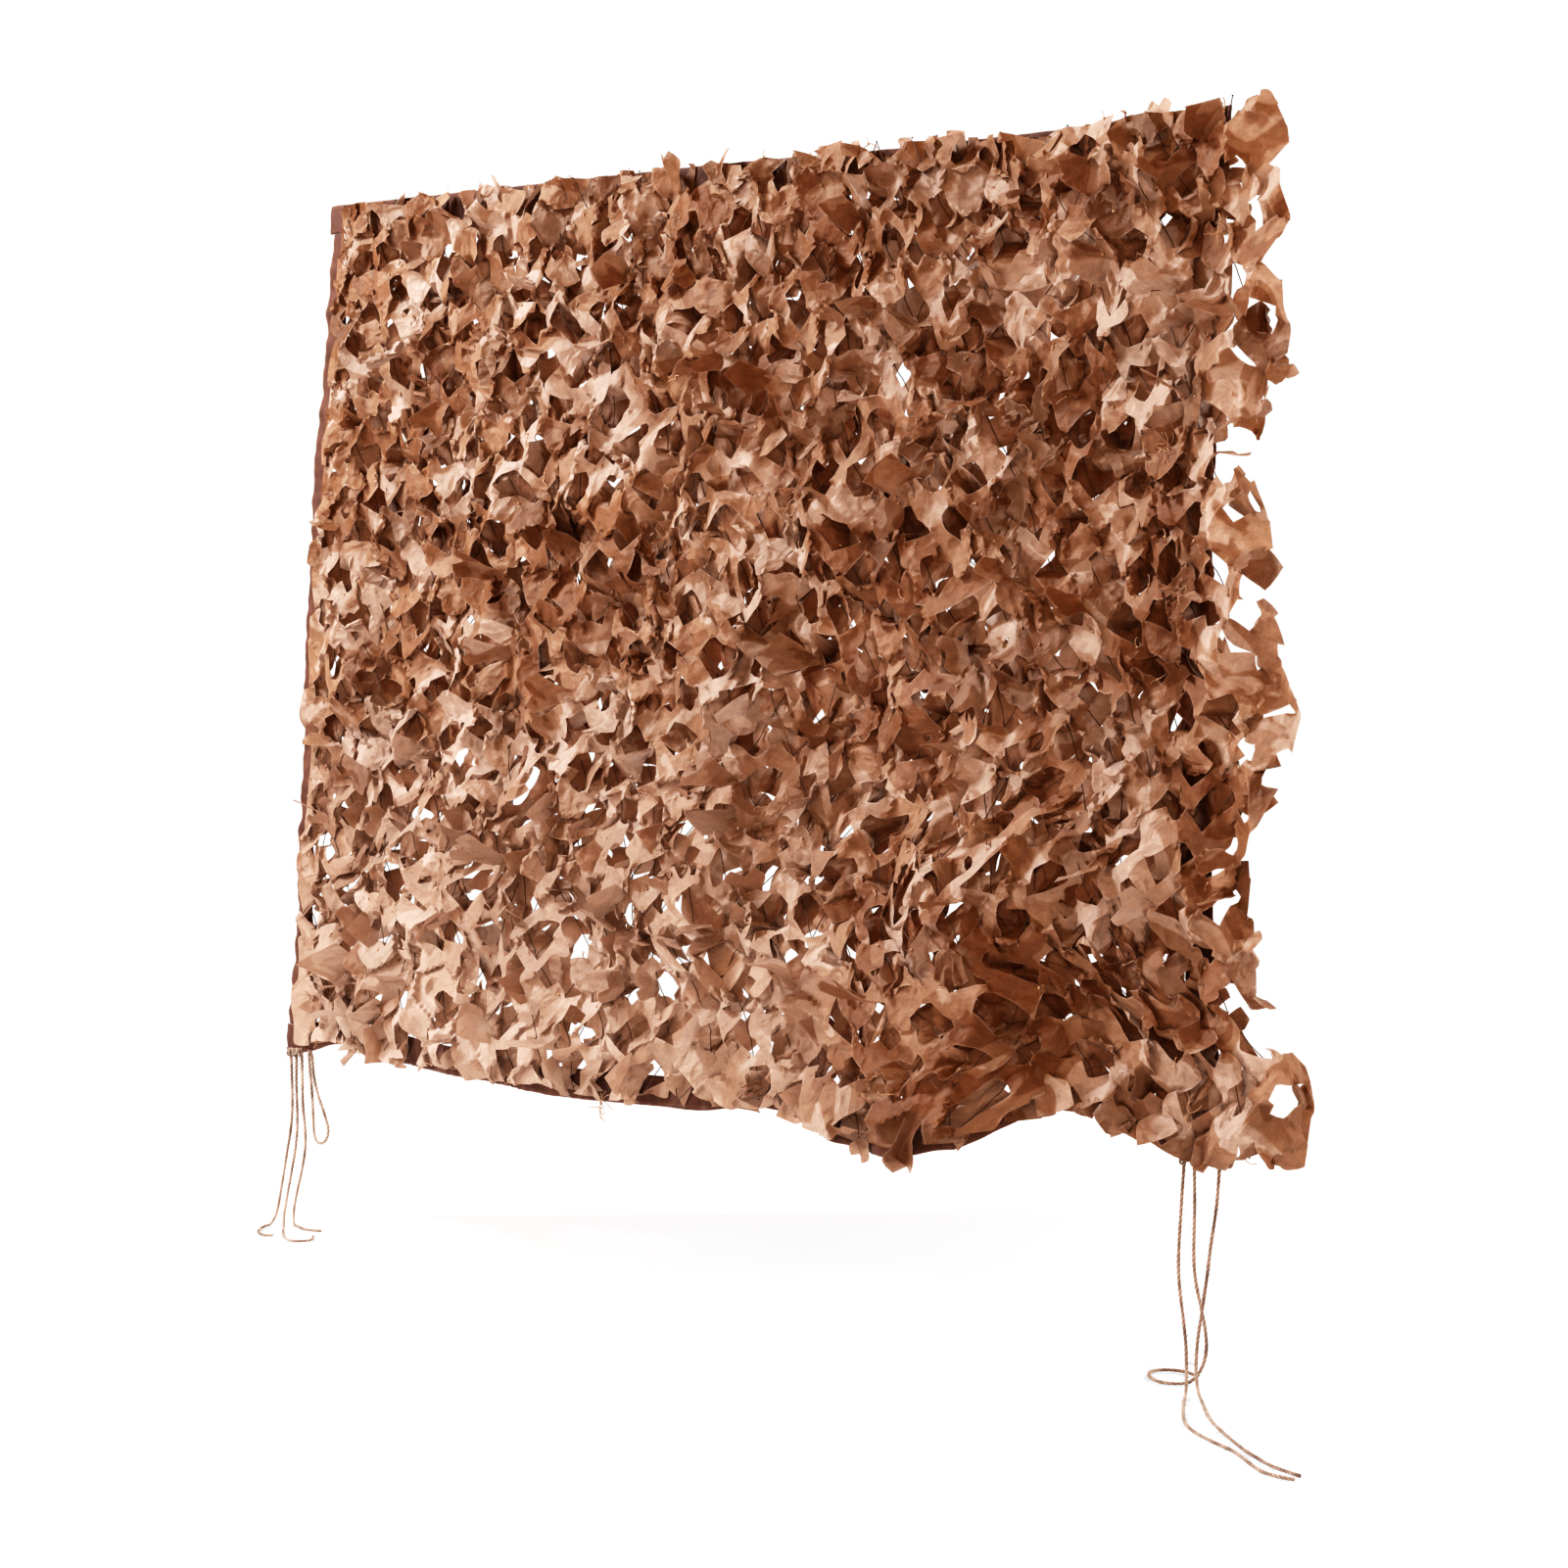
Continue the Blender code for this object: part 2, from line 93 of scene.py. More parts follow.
# Where the leaf cloth starts and ends on the hung surface
CLOTH_TOP = (
    # x, drop
    (-0.96, 0.007), (-0.60, 0.006), (-0.20, 0.002), (0.05, 0.006), (0.36, -0.010), (0.52, 0.002),
    (0.80, -0.002), (1.15, -0.006),
)
CLOTH_BOTTOM = (
    # x, drop
    (-1.10, 1.480), (-1.00, 1.482), (-0.84, 1.502), (-0.70, 1.494), (-0.52, 1.484), (-0.10, 1.482),
    (0.30, 1.490), (0.55, 1.482), (0.70, 1.478), (0.80, 1.504), (0.90, 1.496), (1.10, 1.486),
)
TOP_SAG = (
    # x, sag of the top edge between its hangers
    (-1.00, 0.000), (-0.10, 0.003), (0.45, 0.011), (0.92, 0.010), (1.02, 0.002),
)
CLOTH_FROM_LEFT = 0.034
CLOTH_PAST_RIGHT = (
    # drop, how far past the right edge
    (0.00, 0.020), (0.10, 0.034), (0.22, 0.058), (0.38, 0.058), (0.50, 0.056), (0.62, 0.058), (0.72, 0.056),
    (0.85, 0.096), (1.00, 0.098), (1.10, 0.052), (1.20, 0.014), (1.32, 0.076), (1.40, 0.084), (1.50, 0.074),
)
GATHERS = (
    # shift, waves per metre across and down, turn
    (0.011, 3.1, 1.2, 0.15), (0.009, 4.4, -2.6, 0.60), (0.007, -1.9, 4.7, 0.35),
)
# The same gathers move a point down too, by this share of the shift and in this many times the waves
GATHER_DOWN = 0.7
GATHER_DOWN_WAVES = 1.3
LOW_EDGE = 0.25
LOW_EDGE_WIDE = 0.14
# The cloth hangs open left of the first share of its width and below the second share of its height
OPEN_FROM = (0.68, 0.62)
OPEN_EASE = 0.1
TOP_RAGGED = 0.12
BOTTOM_RAGGED = 0.15
RIGHT_RAGGED = 0.22
RIGHT_RAGGED_CELLS = 0.6
TEAR_SEED = 13
TEAR_SMOOTHING = 3

# The leaf cloth before it is hung: a fuller cloth than the net, with one leaf cut in each cell
CELL_WIDE = 0.098
CELL_TALL = 0.079
CELL_COLUMNS = 27
CELL_ROWS = 22
FLAT_WIDE = CELL_WIDE * CELL_COLUMNS
FLAT_TALL = CELL_TALL * CELL_ROWS
FLAT_STEP = 0.0078
# Between cuts, as shares of FLAT_STEP: how far a point strays, and its least distance from a cut
FILL_JITTER = 0.12
FILL_ROOM = 0.58
BROAD_LEAF = (
    # along the leaf from its hinge, half width
    (0.000, 0.0135), (0.008, 0.0172), (0.016, 0.0210), (0.024, 0.0247), (0.032, 0.0285), (0.039, 0.0220),
    (0.046, 0.0150), (0.052, 0.0085), (0.058, 0.0010),
)
KITE_LEAF = (
    (0.000, 0.0105), (0.007, 0.0165), (0.014, 0.0230), (0.021, 0.0290), (0.029, 0.0250), (0.037, 0.0190),
    (0.045, 0.0125), (0.052, 0.0065), (0.059, 0.0010),
)
FAN_LEAF = (
    (0.000, 0.0120), (0.008, 0.0122), (0.016, 0.0145), (0.024, 0.0180), (0.031, 0.0225), (0.038, 0.0270),
    (0.044, 0.0290), (0.051, 0.0235), (0.057, 0.0150),
)
LEAF_SHAPES = (
    # outline, from its last point to the tip between
    (BROAD_LEAF, 0.001), (KITE_LEAF, 0.001), (FAN_LEAF, -0.012),
)
LEAF_SHARES = (0.28, 0.34, 0.38)
LEAF_MIDDLE = 0.029
LEAF_REACH = 0.056
LOPSIDED = 0.25
PLACE_JITTER = 0.0052
QUARTER_TURNS = (0, 0, 1, 2, 3)
TURN_JITTER = 30
TEETH_SHARE = 0.55
TEETH_RISE = 0.028
MARGIN_LEAF = 0.84
MARGIN_CELLS = 1.2
LEFT_CLEAR = 0.004
HINGE_CLEAR = 0.004
UNCUT_ROWS = 3
UNCUT_SHARE = 0.20
UNCUT_SPAN = (0.14, 0.72)

# The two plies that the gathered cloth lies in. Angles are in degrees, bends in radians a metre
FRONT_PLY = {
    "seed": 11,
    "out": 0.032,
    "row_shift": 0.0,
    "painted_shade": (1.00, 1.00, 1.00),
    "light_through": 0.24,
    "leaf_size": (1.18, 1.32),
    "open_leaf": 0.14,
    "lean": (22, 72),
    "curl": (-2, 14),
    "fold": (-52, 52),
    "tip_fold": (-62, 62),
    "open_lean": 22,
    "to_front": 0.16,
    "web_tilt": (25, 60),
    "flat_reach": 1.0,
}
BACK_PLY = {
    "seed": 12,
    "out": 0.000,
    "row_shift": 0.5,
    # The back ply's colours are darkened by this factor: painted shade on the deeper ply
    "painted_shade": (0.88, 0.80, 0.74),
    "light_through": 0.28,
    "leaf_size": (0.75, 0.89),
    "open_leaf": 0.50,
    "lean": (0, 10),
    "curl": (-6, 8),
    "fold": (-24, 24),
    "tip_fold": (-20, 20),
    "open_lean": 78,
    "to_front": 0.60,
    "web_tilt": (8, 34),
    "flat_reach": 0.945,
}
LEAF_TWIST = 7.0
HINGE_EASE = 0.015
FOLD_ROUND = 0.003
TIP_FROM = (0.020, 0.044)
TIP_SLANT = 0.8
TIP_ROUND = 0.002
WEB_BEND = 9.0
WEB_FOLD = 28
FIRST_RUFFLE = 0.004
RUFFLES = 10
RUFFLE_WAVES = (0.1, 0.25)
SHARP_CREASE = 20
PRINT_SHIFT = 0.37
LEAF_TINTS = (
    # a leaf's random number, its tint
    (0.0, (0.62, 0.58, 0.55)),
    (0.2, (0.86, 0.84, 0.82)),
    (0.6, (1.0, 1.0, 1.0)),
    (1.0, (1.06, 1.08, 1.10)),
)

# The string mesh: how many cells it ends short of the cloth's right edge, its flat size as a share of
# the cloth's, and how far its knots stray over the net and stand out from it
STRINGS_SHORT = 0.8
STRINGS_FLAT_SHARE = 0.998
STRINGS_ASTRAY = 0.003
STRINGS_OUT = (0.004, 0.016)
STRING_STEP = 0.011
STRINGS_SEED = 5
STRING_LIGHTER = 2.2

# The lacing, and the ends and tufts of its pale string
LACED_FROM_SIDES = (0.02, 0.05)
LACED_OUT = 0.6
LACED_ASTRAY = 0.008
LACED_SHARE = 0.5
LACING_SEED = 8
LACING_DARKER = 0.55
STRING_OFF_CLOTH = (0.0, -0.0015, 0.0)
TUFT_FIBRES = 16
TUFT_SPREAD = 0.003
TUFT_OFF_CLOTH = (0.0, -0.004, 0.0)
TUFTS = (
    # x, z
    (1.000, -0.165), (0.990, -0.200), (0.925, -0.450), (0.975, -0.690), (0.975, -1.380), (-0.120, -1.460),
    (0.200, -0.560),
)

# How the cloth settles
BEND_STIFFNESS = 0.5
OVERSTEP = 1.5
HELD_BACK = 0.5
SINK = 0.00003
SHAPE_EVERY = 3
LACED_NEAR = 19
LACED_RADIUS = 0.015
SHAPE_STIFFNESS = 0.35
LAST_SHAPE_STIFFNESS = 0.15
LAST_PART = 0.85
FRONT_OF_BAND = 0.0030
BEHIND_BANDS = 0.045
BAND_EASE = 0.04

# The ties, from the hem to their free ends
CORD_THICK = 0.005
CORD_STEP = 3 * CORD_THICK
ROUTE_STEPS = 24
ON_FLOOR = FLOOR_Z + CORD_THICK / 2
ROUTES = {
    "tie_right_outer": (
        (0.931, 0.001, -1.4905), (0.928, -0.002, -1.560), (0.926, -0.005, -1.633), (0.931, -0.008, -1.676),
        (0.942, -0.014, -1.715), (0.955, -0.024, -1.753), (0.970, -0.042, -1.787), (0.991, -0.070, -1.804),
        (1.026, -0.120, ON_FLOOR), (1.066, -0.173, ON_FLOOR), (1.106, -0.220, ON_FLOOR),
        (1.147, -0.253, ON_FLOOR), (1.195, -0.280, ON_FLOOR), (1.250, -0.306, ON_FLOOR),
        (1.296, -0.338, ON_FLOOR), (1.336, -0.366, ON_FLOOR), (1.368, -0.379, ON_FLOOR),
        (1.403, -0.380, ON_FLOOR),
    ),
    "tie_right_middle": (
        (0.949, 0.001, -1.4905), (0.946, 0.006, -1.560), (0.939, 0.014, -1.633), (0.939, 0.020, -1.671),
        (0.945, 0.024, -1.706), (0.953, 0.024, -1.739), (0.957, 0.020, -1.769), (0.955, 0.008, -1.794),
        (0.950, -0.010, -1.8065), (0.941, -0.026, ON_FLOOR), (0.922, -0.034, ON_FLOOR),
        (0.897, -0.026, ON_FLOOR), (0.873, -0.004, ON_FLOOR), (0.862, 0.020, ON_FLOOR),
        (0.873, 0.040, ON_FLOOR), (0.897, 0.047, ON_FLOOR), (0.919, 0.040, ON_FLOOR),
    ),
    "tie_right_inner": (
        (0.994, 0.001, -1.4909), (0.992, -0.003, -1.548), (0.985, -0.007, -1.607), (0.981, -0.011, -1.655),
        (0.978, -0.018, -1.702), (0.980, -0.030, -1.742), (0.990, -0.046, -1.776), (1.014, -0.072, -1.800),
        (1.052, -0.110, ON_FLOOR), (1.093, -0.155, ON_FLOOR), (1.136, -0.196, ON_FLOOR),
        (1.192, -0.241, ON_FLOOR), (1.240, -0.278, ON_FLOOR), (1.286, -0.309, ON_FLOOR),
        (1.340, -0.340, ON_FLOOR), (1.396, -0.358, ON_FLOOR),
    ),
    "tie_left_outer": (
        (-1.093, -0.003, -1.5077), (-1.090, -0.004, -1.561), (-1.088, -0.005, -1.605),
        (-1.090, -0.007, -1.645), (-1.095, -0.011, -1.684), (-1.096, -0.018, -1.721),
        (-1.093, -0.029, -1.759), (-1.084, -0.045, -1.792), (-1.066, -0.072, ON_FLOOR),
        (-1.049, -0.100, ON_FLOOR), (-1.030, -0.126, ON_FLOOR), (-1.006, -0.148, ON_FLOOR),
        (-0.980, -0.158, ON_FLOOR), (-0.962, -0.150, ON_FLOOR),
    ),
    "tie_left_middle": (
        (-1.076, -0.004, -1.5075), (-1.076, -0.005, -1.560), (-1.072, -0.007, -1.603),
        (-1.066, -0.012, -1.645), (-1.061, -0.021, -1.682), (-1.055, -0.035, -1.722),
        (-1.046, -0.051, -1.757), (-1.030, -0.071, -1.788), (-1.003, -0.094, ON_FLOOR + 0.0030),
        (-0.970, -0.122, ON_FLOOR), (-0.936, -0.146, ON_FLOOR), (-0.903, -0.160, ON_FLOOR),
        (-0.880, -0.152, ON_FLOOR), (-0.880, -0.130, ON_FLOOR), (-0.903, -0.108, ON_FLOOR),
    ),
    "tie_left_inner": (
        (-1.060, -0.005, -1.5072), (-1.060, -0.004, -1.559), (-1.060, -0.003, -1.603),
        (-1.056, -0.002, -1.643), (-1.053, -0.004, -1.677), (-1.056, -0.009, -1.716),
        (-1.060, -0.017, -1.754), (-1.055, -0.029, -1.787), (-1.034, -0.046, ON_FLOOR),
        (-1.003, -0.062, ON_FLOOR), (-0.968, -0.071, ON_FLOOR), (-0.938, -0.062, ON_FLOOR),
    ),
    "tie_left_loop": (
        (-1.026, -0.0095, -1.5056), (-1.022, -0.008, -1.547), (-1.012, -0.006, -1.581),
        (-0.998, -0.003, -1.614), (-0.990, -0.002, -1.640), (-0.998, -0.001, -1.658),
        (-1.014, 0.001, -1.666), (-1.030, 0.003, -1.663), (-1.039, 0.005, -1.648), (-1.042, 0.006, -1.623),
        (-1.040, 0.003, -1.596), (-1.038, -0.001, -1.565), (-1.037, -0.005, -1.535),
        (-1.037, -0.0075, -1.5063),
    ),
}
STRANDS = 3
RING_STEP = 0.0016
RING_CORNERS = 18
ROPE_SHAPE = (0.84, 0.20)
STRAND_ROUND = 0.8
ROPE_SWELLS = (
    # share of the radius, radians a metre, radians where the rope starts
    (0.05, 140, 0), (0.03, 47, 1),
)
KNOT_OFF_HEM = (0.0, -0.004, 0.002)
KNOT_SIZE = 0.0075
KNOT_CORD = 0.0040
KNOT_POINTS = 60
KNOT_FLATTENED = 0.6
KNOT_TURN = 0.9
FIBRE_THICK = 0.00022

# The bands
BAND_ROWS = 12
TOP_PLACES = 330
HEM_PLACES = 350
SIDE_PLACES = 240
HEM_FOLD = 0.009
# The tape's thickness at its middle, at its folded hems and along its very edge
TAPE_THICKS = (0.0013, 0.0020, 0.0009)
CREASE_DEPTH = 0.0014
CREASES = 14
CREASE_WAVES = (0.018, 0.09)
CREASE_SWERVE = 1.2
RUBBED_WIDE = 0.006
SEAM_INSET = 0.0062
SEAM_OUT = 0.0010
THREAD_DARKER = 0.6

# The camera and what the lights point at
CAMERA_PLACE = (4.16, -4.18, -0.69)
CAMERA_TURN = 43.89
CAMERA_TILT = 2.87
CAMERA_LENS = 85.0
NET_MIDDLE = (0.0, 0.0, -0.8)
CAMERA_REACH = 60.0
KEY_PLACE = (-2.3, -2.1, 2.3)
WARM_WHITE = (1.0, 0.93, 0.90)
LIGHTS = (
    # name, place, what it points at, width, power, colour
    ("side_fill", (3.4, -3.4, 0.4), NET_MIDDLE, 1.6, 19.0, WARM_WHITE),
    ("left_fill", (-2.2, -2.4, -0.2), (-0.7, -0.1, -0.85), 1.6, 54.0, WARM_WHITE),
    ("back_light", (1.9, 2.6, 0.6), NET_MIDDLE, 2.0, 62.0, (1.0, 1.0, 1.0)),
    ("floor_light", (2.4, 2.2, 0.2), (2.4, 2.2, FLOOR_Z), 3.0, 60.0, (0.70, 0.92, 1.0)),
)
SURROUND_COLOUR = (1.0, 0.51, 0.225, 1.0)
FLOOR_UNDER = 0.0018
FLOOR_CORNERS = 96
FLOOR_RIM = 2.2
FLOOR_FADE = (0.9, 0.97)
FLOOR_DIM = 0.97
FLOOR_GLOW = 0.41
FLOOR_GLOW_COLOUR = (0.10, 0.66, 1.0, 1.0)
DEVELOPING = (
    # light, how bright it comes out
    (0.0, 0.0), (0.02, 0.005), (0.05, 0.020), (0.10, 0.060), (0.20, 0.175), (0.35, 0.390), (0.55, 0.655),
    (0.80, 0.880), (1.0, 1.0),
)


# ---------------------------------------------------------------- the hung surface


def blend(rows, at, column):
    """The column's values at the given places of a table, eased between its rows."""
    at = np.asarray(at, float)
    places = np.array([row[0] for row in rows])
    values = np.array([row[column] for row in rows])
    k = np.clip(np.searchsorted(places, at) - 1, 0, len(rows) - 2)
    part = np.clip((at - places[k]) / (places[k + 1] - places[k]), 0, 1)
    return values[k] + (values[k + 1] - values[k]) * part * part * (3 - 2 * part)


def swing(drop):
    """From 0 where the cloth hangs plumb to 1 at the hem."""
    part = np.maximum((drop - SWING_FROM) / (HEIGHT - SWING_FROM), 0)
    return np.where(part < 1, part * part * (3 - 2 * part), 1 + SWING_PAST_HEM * (part - 1))


def hem_lift(x, drop):
    """How far the hem's rise or fall moves a point down."""
    return (blend(HEM, x, 1) - HEIGHT) * np.maximum(drop / HEIGHT, 0) ** HEM_LIFT_POWER


def on_cloth(x, drop):
    """Points of the hung cloth's back plane, one row for each place."""
    waves = sum(
        depth * (1 + np.sin(math.tau * (across * x + down * drop + turn)))
        for depth, across, down, turn in WAVES
    )
    waves = waves * np.maximum(np.sin(math.pi * drop / HEIGHT), 0)
    y = -blend(HEM, x, 2) * swing(drop) - waves
    sag = blend(TOP_SAG, x, 1) * np.clip(1 - drop / HEIGHT, 0, 1) ** 2
    return np.stack([x, y, -drop - hem_lift(x, drop) - sag], axis=-1)


def unit(vectors):
    """The vectors at length 1."""
    return vectors / np.linalg.norm(vectors, axis=-1, keepdims=True)


def off_cloth(x, drop, out):
    """Points that stand out from the back plane, towards the front."""
    x, drop = np.broadcast_arrays(np.asarray(x, float), np.asarray(drop, float))
    step = 0.01
    across = on_cloth(x + step, drop) - on_cloth(x - step, drop)
    down = on_cloth(x, drop + step) - on_cloth(x, drop - step)
    return on_cloth(x, drop) + unit(np.cross(down, across)) * np.asarray(out)[..., None]


def hung(flat, out):
    """Where points of the flat cloth hang."""
    across = flat[:, 0] / FLAT_WIDE
    down = flat[:, 1] / FLAT_TALL
    left = blend(LEFT_EDGE, HEIGHT * down, 1) + CLOTH_FROM_LEFT
    right = blend(RIGHT_EDGE, HEIGHT * down, 1) + blend(CLOTH_PAST_RIGHT, HEIGHT * down, 1)
    x = left + (right - left) * across
    top = blend(CLOTH_TOP, x, 1)
    drop = top + (blend(CLOTH_BOTTOM, x, 1) - top) * down
    # No gather at the edges, all of it a quarter of the width and an eighth of the height in
    inner = 4 * np.clip(np.minimum(across, 1 - across), 0, 0.25)
    inner = inner * np.clip(8 * np.minimum(down, 1 - down), 0, 1)
    for shift, over, below, turn in GATHERS:
        wave = math.tau * (over * flat[:, 0] + below * flat[:, 1] + turn)
        x = x + shift * inner * np.sin(wave)
        drop = drop + GATHER_DOWN * shift * inner * np.cos(GATHER_DOWN_WAVES * wave)
    inside = np.clip((x - left) / LOW_EDGE_WIDE, 0, 1)
    return off_cloth(x, drop, out * (LOW_EDGE + (1 - LOW_EDGE) * inside))


# ---------------------------------------------------------------- the leaf cloth, flat


def openness(u, v):
    """From 0 over most of the flat cloth to 1 low on its left, where it hangs open."""
    low = np.clip((v / FLAT_TALL - OPEN_FROM[1]) / (1 - OPEN_FROM[1]), 0, 1)
    left = np.clip((OPEN_FROM[0] - u / FLAT_WIDE) / OPEN_EASE, 0, 1)
    return np.sqrt(low) * left


def row_place(row, u, shift):
    """How far down a row lies in a ply whose rows are shifted, less so where the cloth hangs open."""
    return (row + shift * (1 - openness(u, row * CELL_TALL))) * CELL_TALL


def leaf_cuts(draw, ply):
    """Every leaf cut of the flat cloth, each a row of points from one end of its hinge round by the tip."""
    cuts = []
    for row in range(-1 if ply["row_shift"] else 0, CELL_ROWS):
        for column in range(CELL_COLUMNS + row % 2):
            u = (column + 0.5 - 0.5 * (row % 2)) * CELL_WIDE + draw.normal(0, PLACE_JITTER)
            v = row_place(row + 0.5, u, ply["row_shift"]) + draw.normal(0, PLACE_JITTER)
            low = row >= CELL_ROWS - UNCUT_ROWS and UNCUT_SPAN[0] < u / FLAT_WIDE < UNCUT_SPAN[1]
            if low and draw.random() < UNCUT_SHARE:
                continue
            turn = math.radians(90 * draw.choice(QUARTER_TURNS) + draw.uniform(-TURN_JITTER, TURN_JITTER))
            outline, tip = LEAF_SHAPES[draw.choice(len(LEAF_SHAPES), p=LEAF_SHARES)]
            along, half = np.array(outline).T
            more = draw.uniform(-LOPSIDED, LOPSIDED)
            side = np.concatenate([half * (1 + more), [0], -half[::-1] * (1 - more)])
            along = np.concatenate([along, [along[-1] + tip], along[::-1]]) - LEAF_MIDDLE
            size = draw.uniform(*ply["leaf_size"])
            # Teeth along the top edge and the leafy stretches of the hem
            tooth = draw.random() < TEETH_SHARE and not ply["row_shift"]
            if tooth and row == 0:
                turn = math.pi + math.radians(draw.uniform(-TURN_JITTER, TURN_JITTER))
                v -= TEETH_RISE
            if tooth and row == CELL_ROWS - 1 and not UNCUT_SPAN[0] < u / FLAT_WIDE < UNCUT_SPAN[1]:
                turn = math.radians(draw.uniform(-TURN_JITTER, TURN_JITTER))
                v += TEETH_RISE
            size *= 1 + ply["open_leaf"] * openness(u, v)
            if u > ply["flat_reach"] * FLAT_WIDE - MARGIN_CELLS * CELL_WIDE:
                size *= MARGIN_LEAF
            cuts.append(np.stack([
                u + size * (side * math.cos(turn) + along * math.sin(turn)),
                v + size * (along * math.cos(turn) - side * math.sin(turn)),
            ], axis=-1))
    return np.array(cuts)


def flat_border(wide):
    """The straight edge of the flat cloth, clockwise."""
    corners = np.array([(0, 0), (wide, 0), (wide, FLAT_TALL), (0, FLAT_TALL)], float)
    sides = []
    for start, end in zip(corners, np.roll(corners, -1, axis=0)):
        count = round(np.linalg.norm(end - start) / FLAT_STEP)
        sides.append(start + (end - start) * (np.arange(count) / count)[:, None])
    return np.concatenate(sides)


def tree_of(spots):
    """A search tree of flat points."""
    tree = KDTree(len(spots))
    for k, (u, v) in enumerate(spots):
        tree.insert((u, v, 0), k)
    tree.balance()
    return tree


def fill_points(near, wide, draw):
    """Points spread evenly over the flat cloth, none too near the given ones."""
    rows = round(FLAT_TALL / FLAT_STEP / math.sin(math.pi / 3))
    columns = round(wide / FLAT_STEP)
    row, column = np.mgrid[1:rows, 0:columns]
    spots = np.stack([
        (column + 0.25 + 0.5 * (row % 2)) * wide / columns,
        row * FLAT_TALL / rows,
    ], axis=-1).reshape(-1, 2)
    spots += draw.uniform(-FILL_JITTER, FILL_JITTER, spots.shape) * FLAT_STEP
    tree = tree_of(near)
    room = np.array([tree.find((u, v, 0))[2] for u, v in spots])
    return spots[room > FILL_ROOM * FLAT_STEP]


def in_loop(points, loop):
    """Whether each point lies in the closed loop."""
    found = np.zeros(len(points), bool)
    for (ax, ay), (bx, by) in zip(loop, np.roll(loop, -1, axis=0)):
        if ay != by:
            level = (ay > points[:, 1]) != (by > points[:, 1])
            found ^= level & (points[:, 0] < ax + (points[:, 1] - ay) * (bx - ax) / (by - ay))
    return found


def triangulated(cuts, wide, draw):
    """The flat cloth's points and triangles, and its edges that are cut."""
    border = flat_border(wide)
    corners = cuts.shape[1]
    flat = np.concatenate([border, cuts.reshape(-1, 2)])
    flat = np.concatenate([flat, fill_points(flat, wide, draw)])
    links = [(k, (k + 1) % len(border)) for k in range(len(border))]
    uncut = len(links)
    for first in range(len(border), len(border) + len(cuts) * corners, corners):
        links += [(first + k, first + k + 1) for k in range(corners - 1)]
    places, edges, faces, _, sources, _ = delaunay_2d_cdt([Vector(spot) for spot in flat], links, [], 1, 1e-6)
    seams = [edge for edge, source in zip(edges, sources) if any(k >= uncut for k in source)]
    return np.array([tuple(p) for p in places]), np.array([f[:3] for f in faces]), np.array(seams)


def leaf_of_faces(middles, cuts):
    """The leaf that each triangle lies in, or -1 on the web."""
    tree = tree_of(middles)
    leaf = np.full(len(middles), -1)
    for k, cut in enumerate(cuts):
        u, v = cut.mean(axis=0)
        near = np.array([index for _, index, _ in tree.find_range((u, v, 0), LEAF_REACH)], int)
        leaf[near[in_loop(middles[near], cut)]] = k
    return leaf


def edge_keys(edges, count):
    """One number for each edge, whichever way round it is."""
    return edges.min(axis=1) * count + edges.max(axis=1)


def sides_of(faces):
    """The three edges of every triangle."""
    return np.concatenate([faces[:, [0, 1]], faces[:, [1, 2]], faces[:, [2, 0]]])


def twins(keys):
    """Pairs of places at which the same key stands."""
    order = np.argsort(keys, kind="stable")
    same = np.where(keys[order][:-1] == keys[order][1:])[0]
    return order[same], order[same + 1]


def islands(count, links):
    """A number for each of count things, the same for all that the links join."""
    label = np.arange(count)
    while True:
        least = label[links].min(axis=1)
        found = label.copy()
        for k in range(links.shape[1]):
            np.minimum.at(found, links[:, k], least)
        found = found[found]
        if (found == label).all():
            return label
        label = found


def parted(points, faces, seams):
    """The triangles with every point doubled where a cut parts them, and the first point of each new one."""
    count = len(points)
    sides = sides_of(faces)
    keys = edge_keys(sides, count)
    one, other = twins(keys)
    whole = ~np.isin(keys[one], edge_keys(seams, count))
    one, other = one[whole], other[whole]
    corner = np.arange(faces.size).reshape(-1, 3)
    starts = corner.T.reshape(-1)
    ends = np.roll(corner, -1, axis=1).T.reshape(-1)
    links = np.concatenate([
        np.stack([starts[one], ends[other]], axis=-1),
        np.stack([ends[one], starts[other]], axis=-1),
    ])
    label = islands(faces.size, links)
    _, first, new = np.unique(label, return_index=True, return_inverse=True)
    return faces.reshape(-1)[first], new.reshape(-1, 3)


def torn_away(middles, leaf, row_shift, draw):
    """Whether each triangle is web that is missing at the ragged top, bottom and right edges."""
    ties = tie_points(row_shift)
    tree = tree_of(ties[:, :2])
    row = ties[:, 2]
    share = TOP_RAGGED * (row == 0) + BOTTOM_RAGGED * (row == CELL_ROWS)
    share = np.where(ties[:, 0] > FLAT_WIDE - RIGHT_RAGGED_CELLS * CELL_WIDE, RIGHT_RAGGED, share)
    missing = draw.random(len(ties)) < share
    return (leaf < 0) & missing[[tree.find((x, y, 0))[1] for x, y in middles]]


def tears_smoothed(points, faces, seams):
    """The points with torn edges evened out, cuts and far points left as they are."""
    sides = sides_of(faces)
    keys = edge_keys(sides, len(points))
    _, first, times = np.unique(keys, return_index=True, return_counts=True)
    rim = sides[first[times == 1]]
    free = np.ones(len(points), bool)
    free[seams] = False
    free[np.bincount(rim.reshape(-1), minlength=len(points)) != 2] = False
    points = points.copy()
    for _ in range(TEAR_SMOOTHING):
        middle = np.zeros((len(points), 2))
        for one, other in ((0, 1), (1, 0)):
            np.add.at(middle, rim[:, one], points[rim[:, other]] / 2)
        points[free] = (points[free] + middle[free]) / 2
    return points


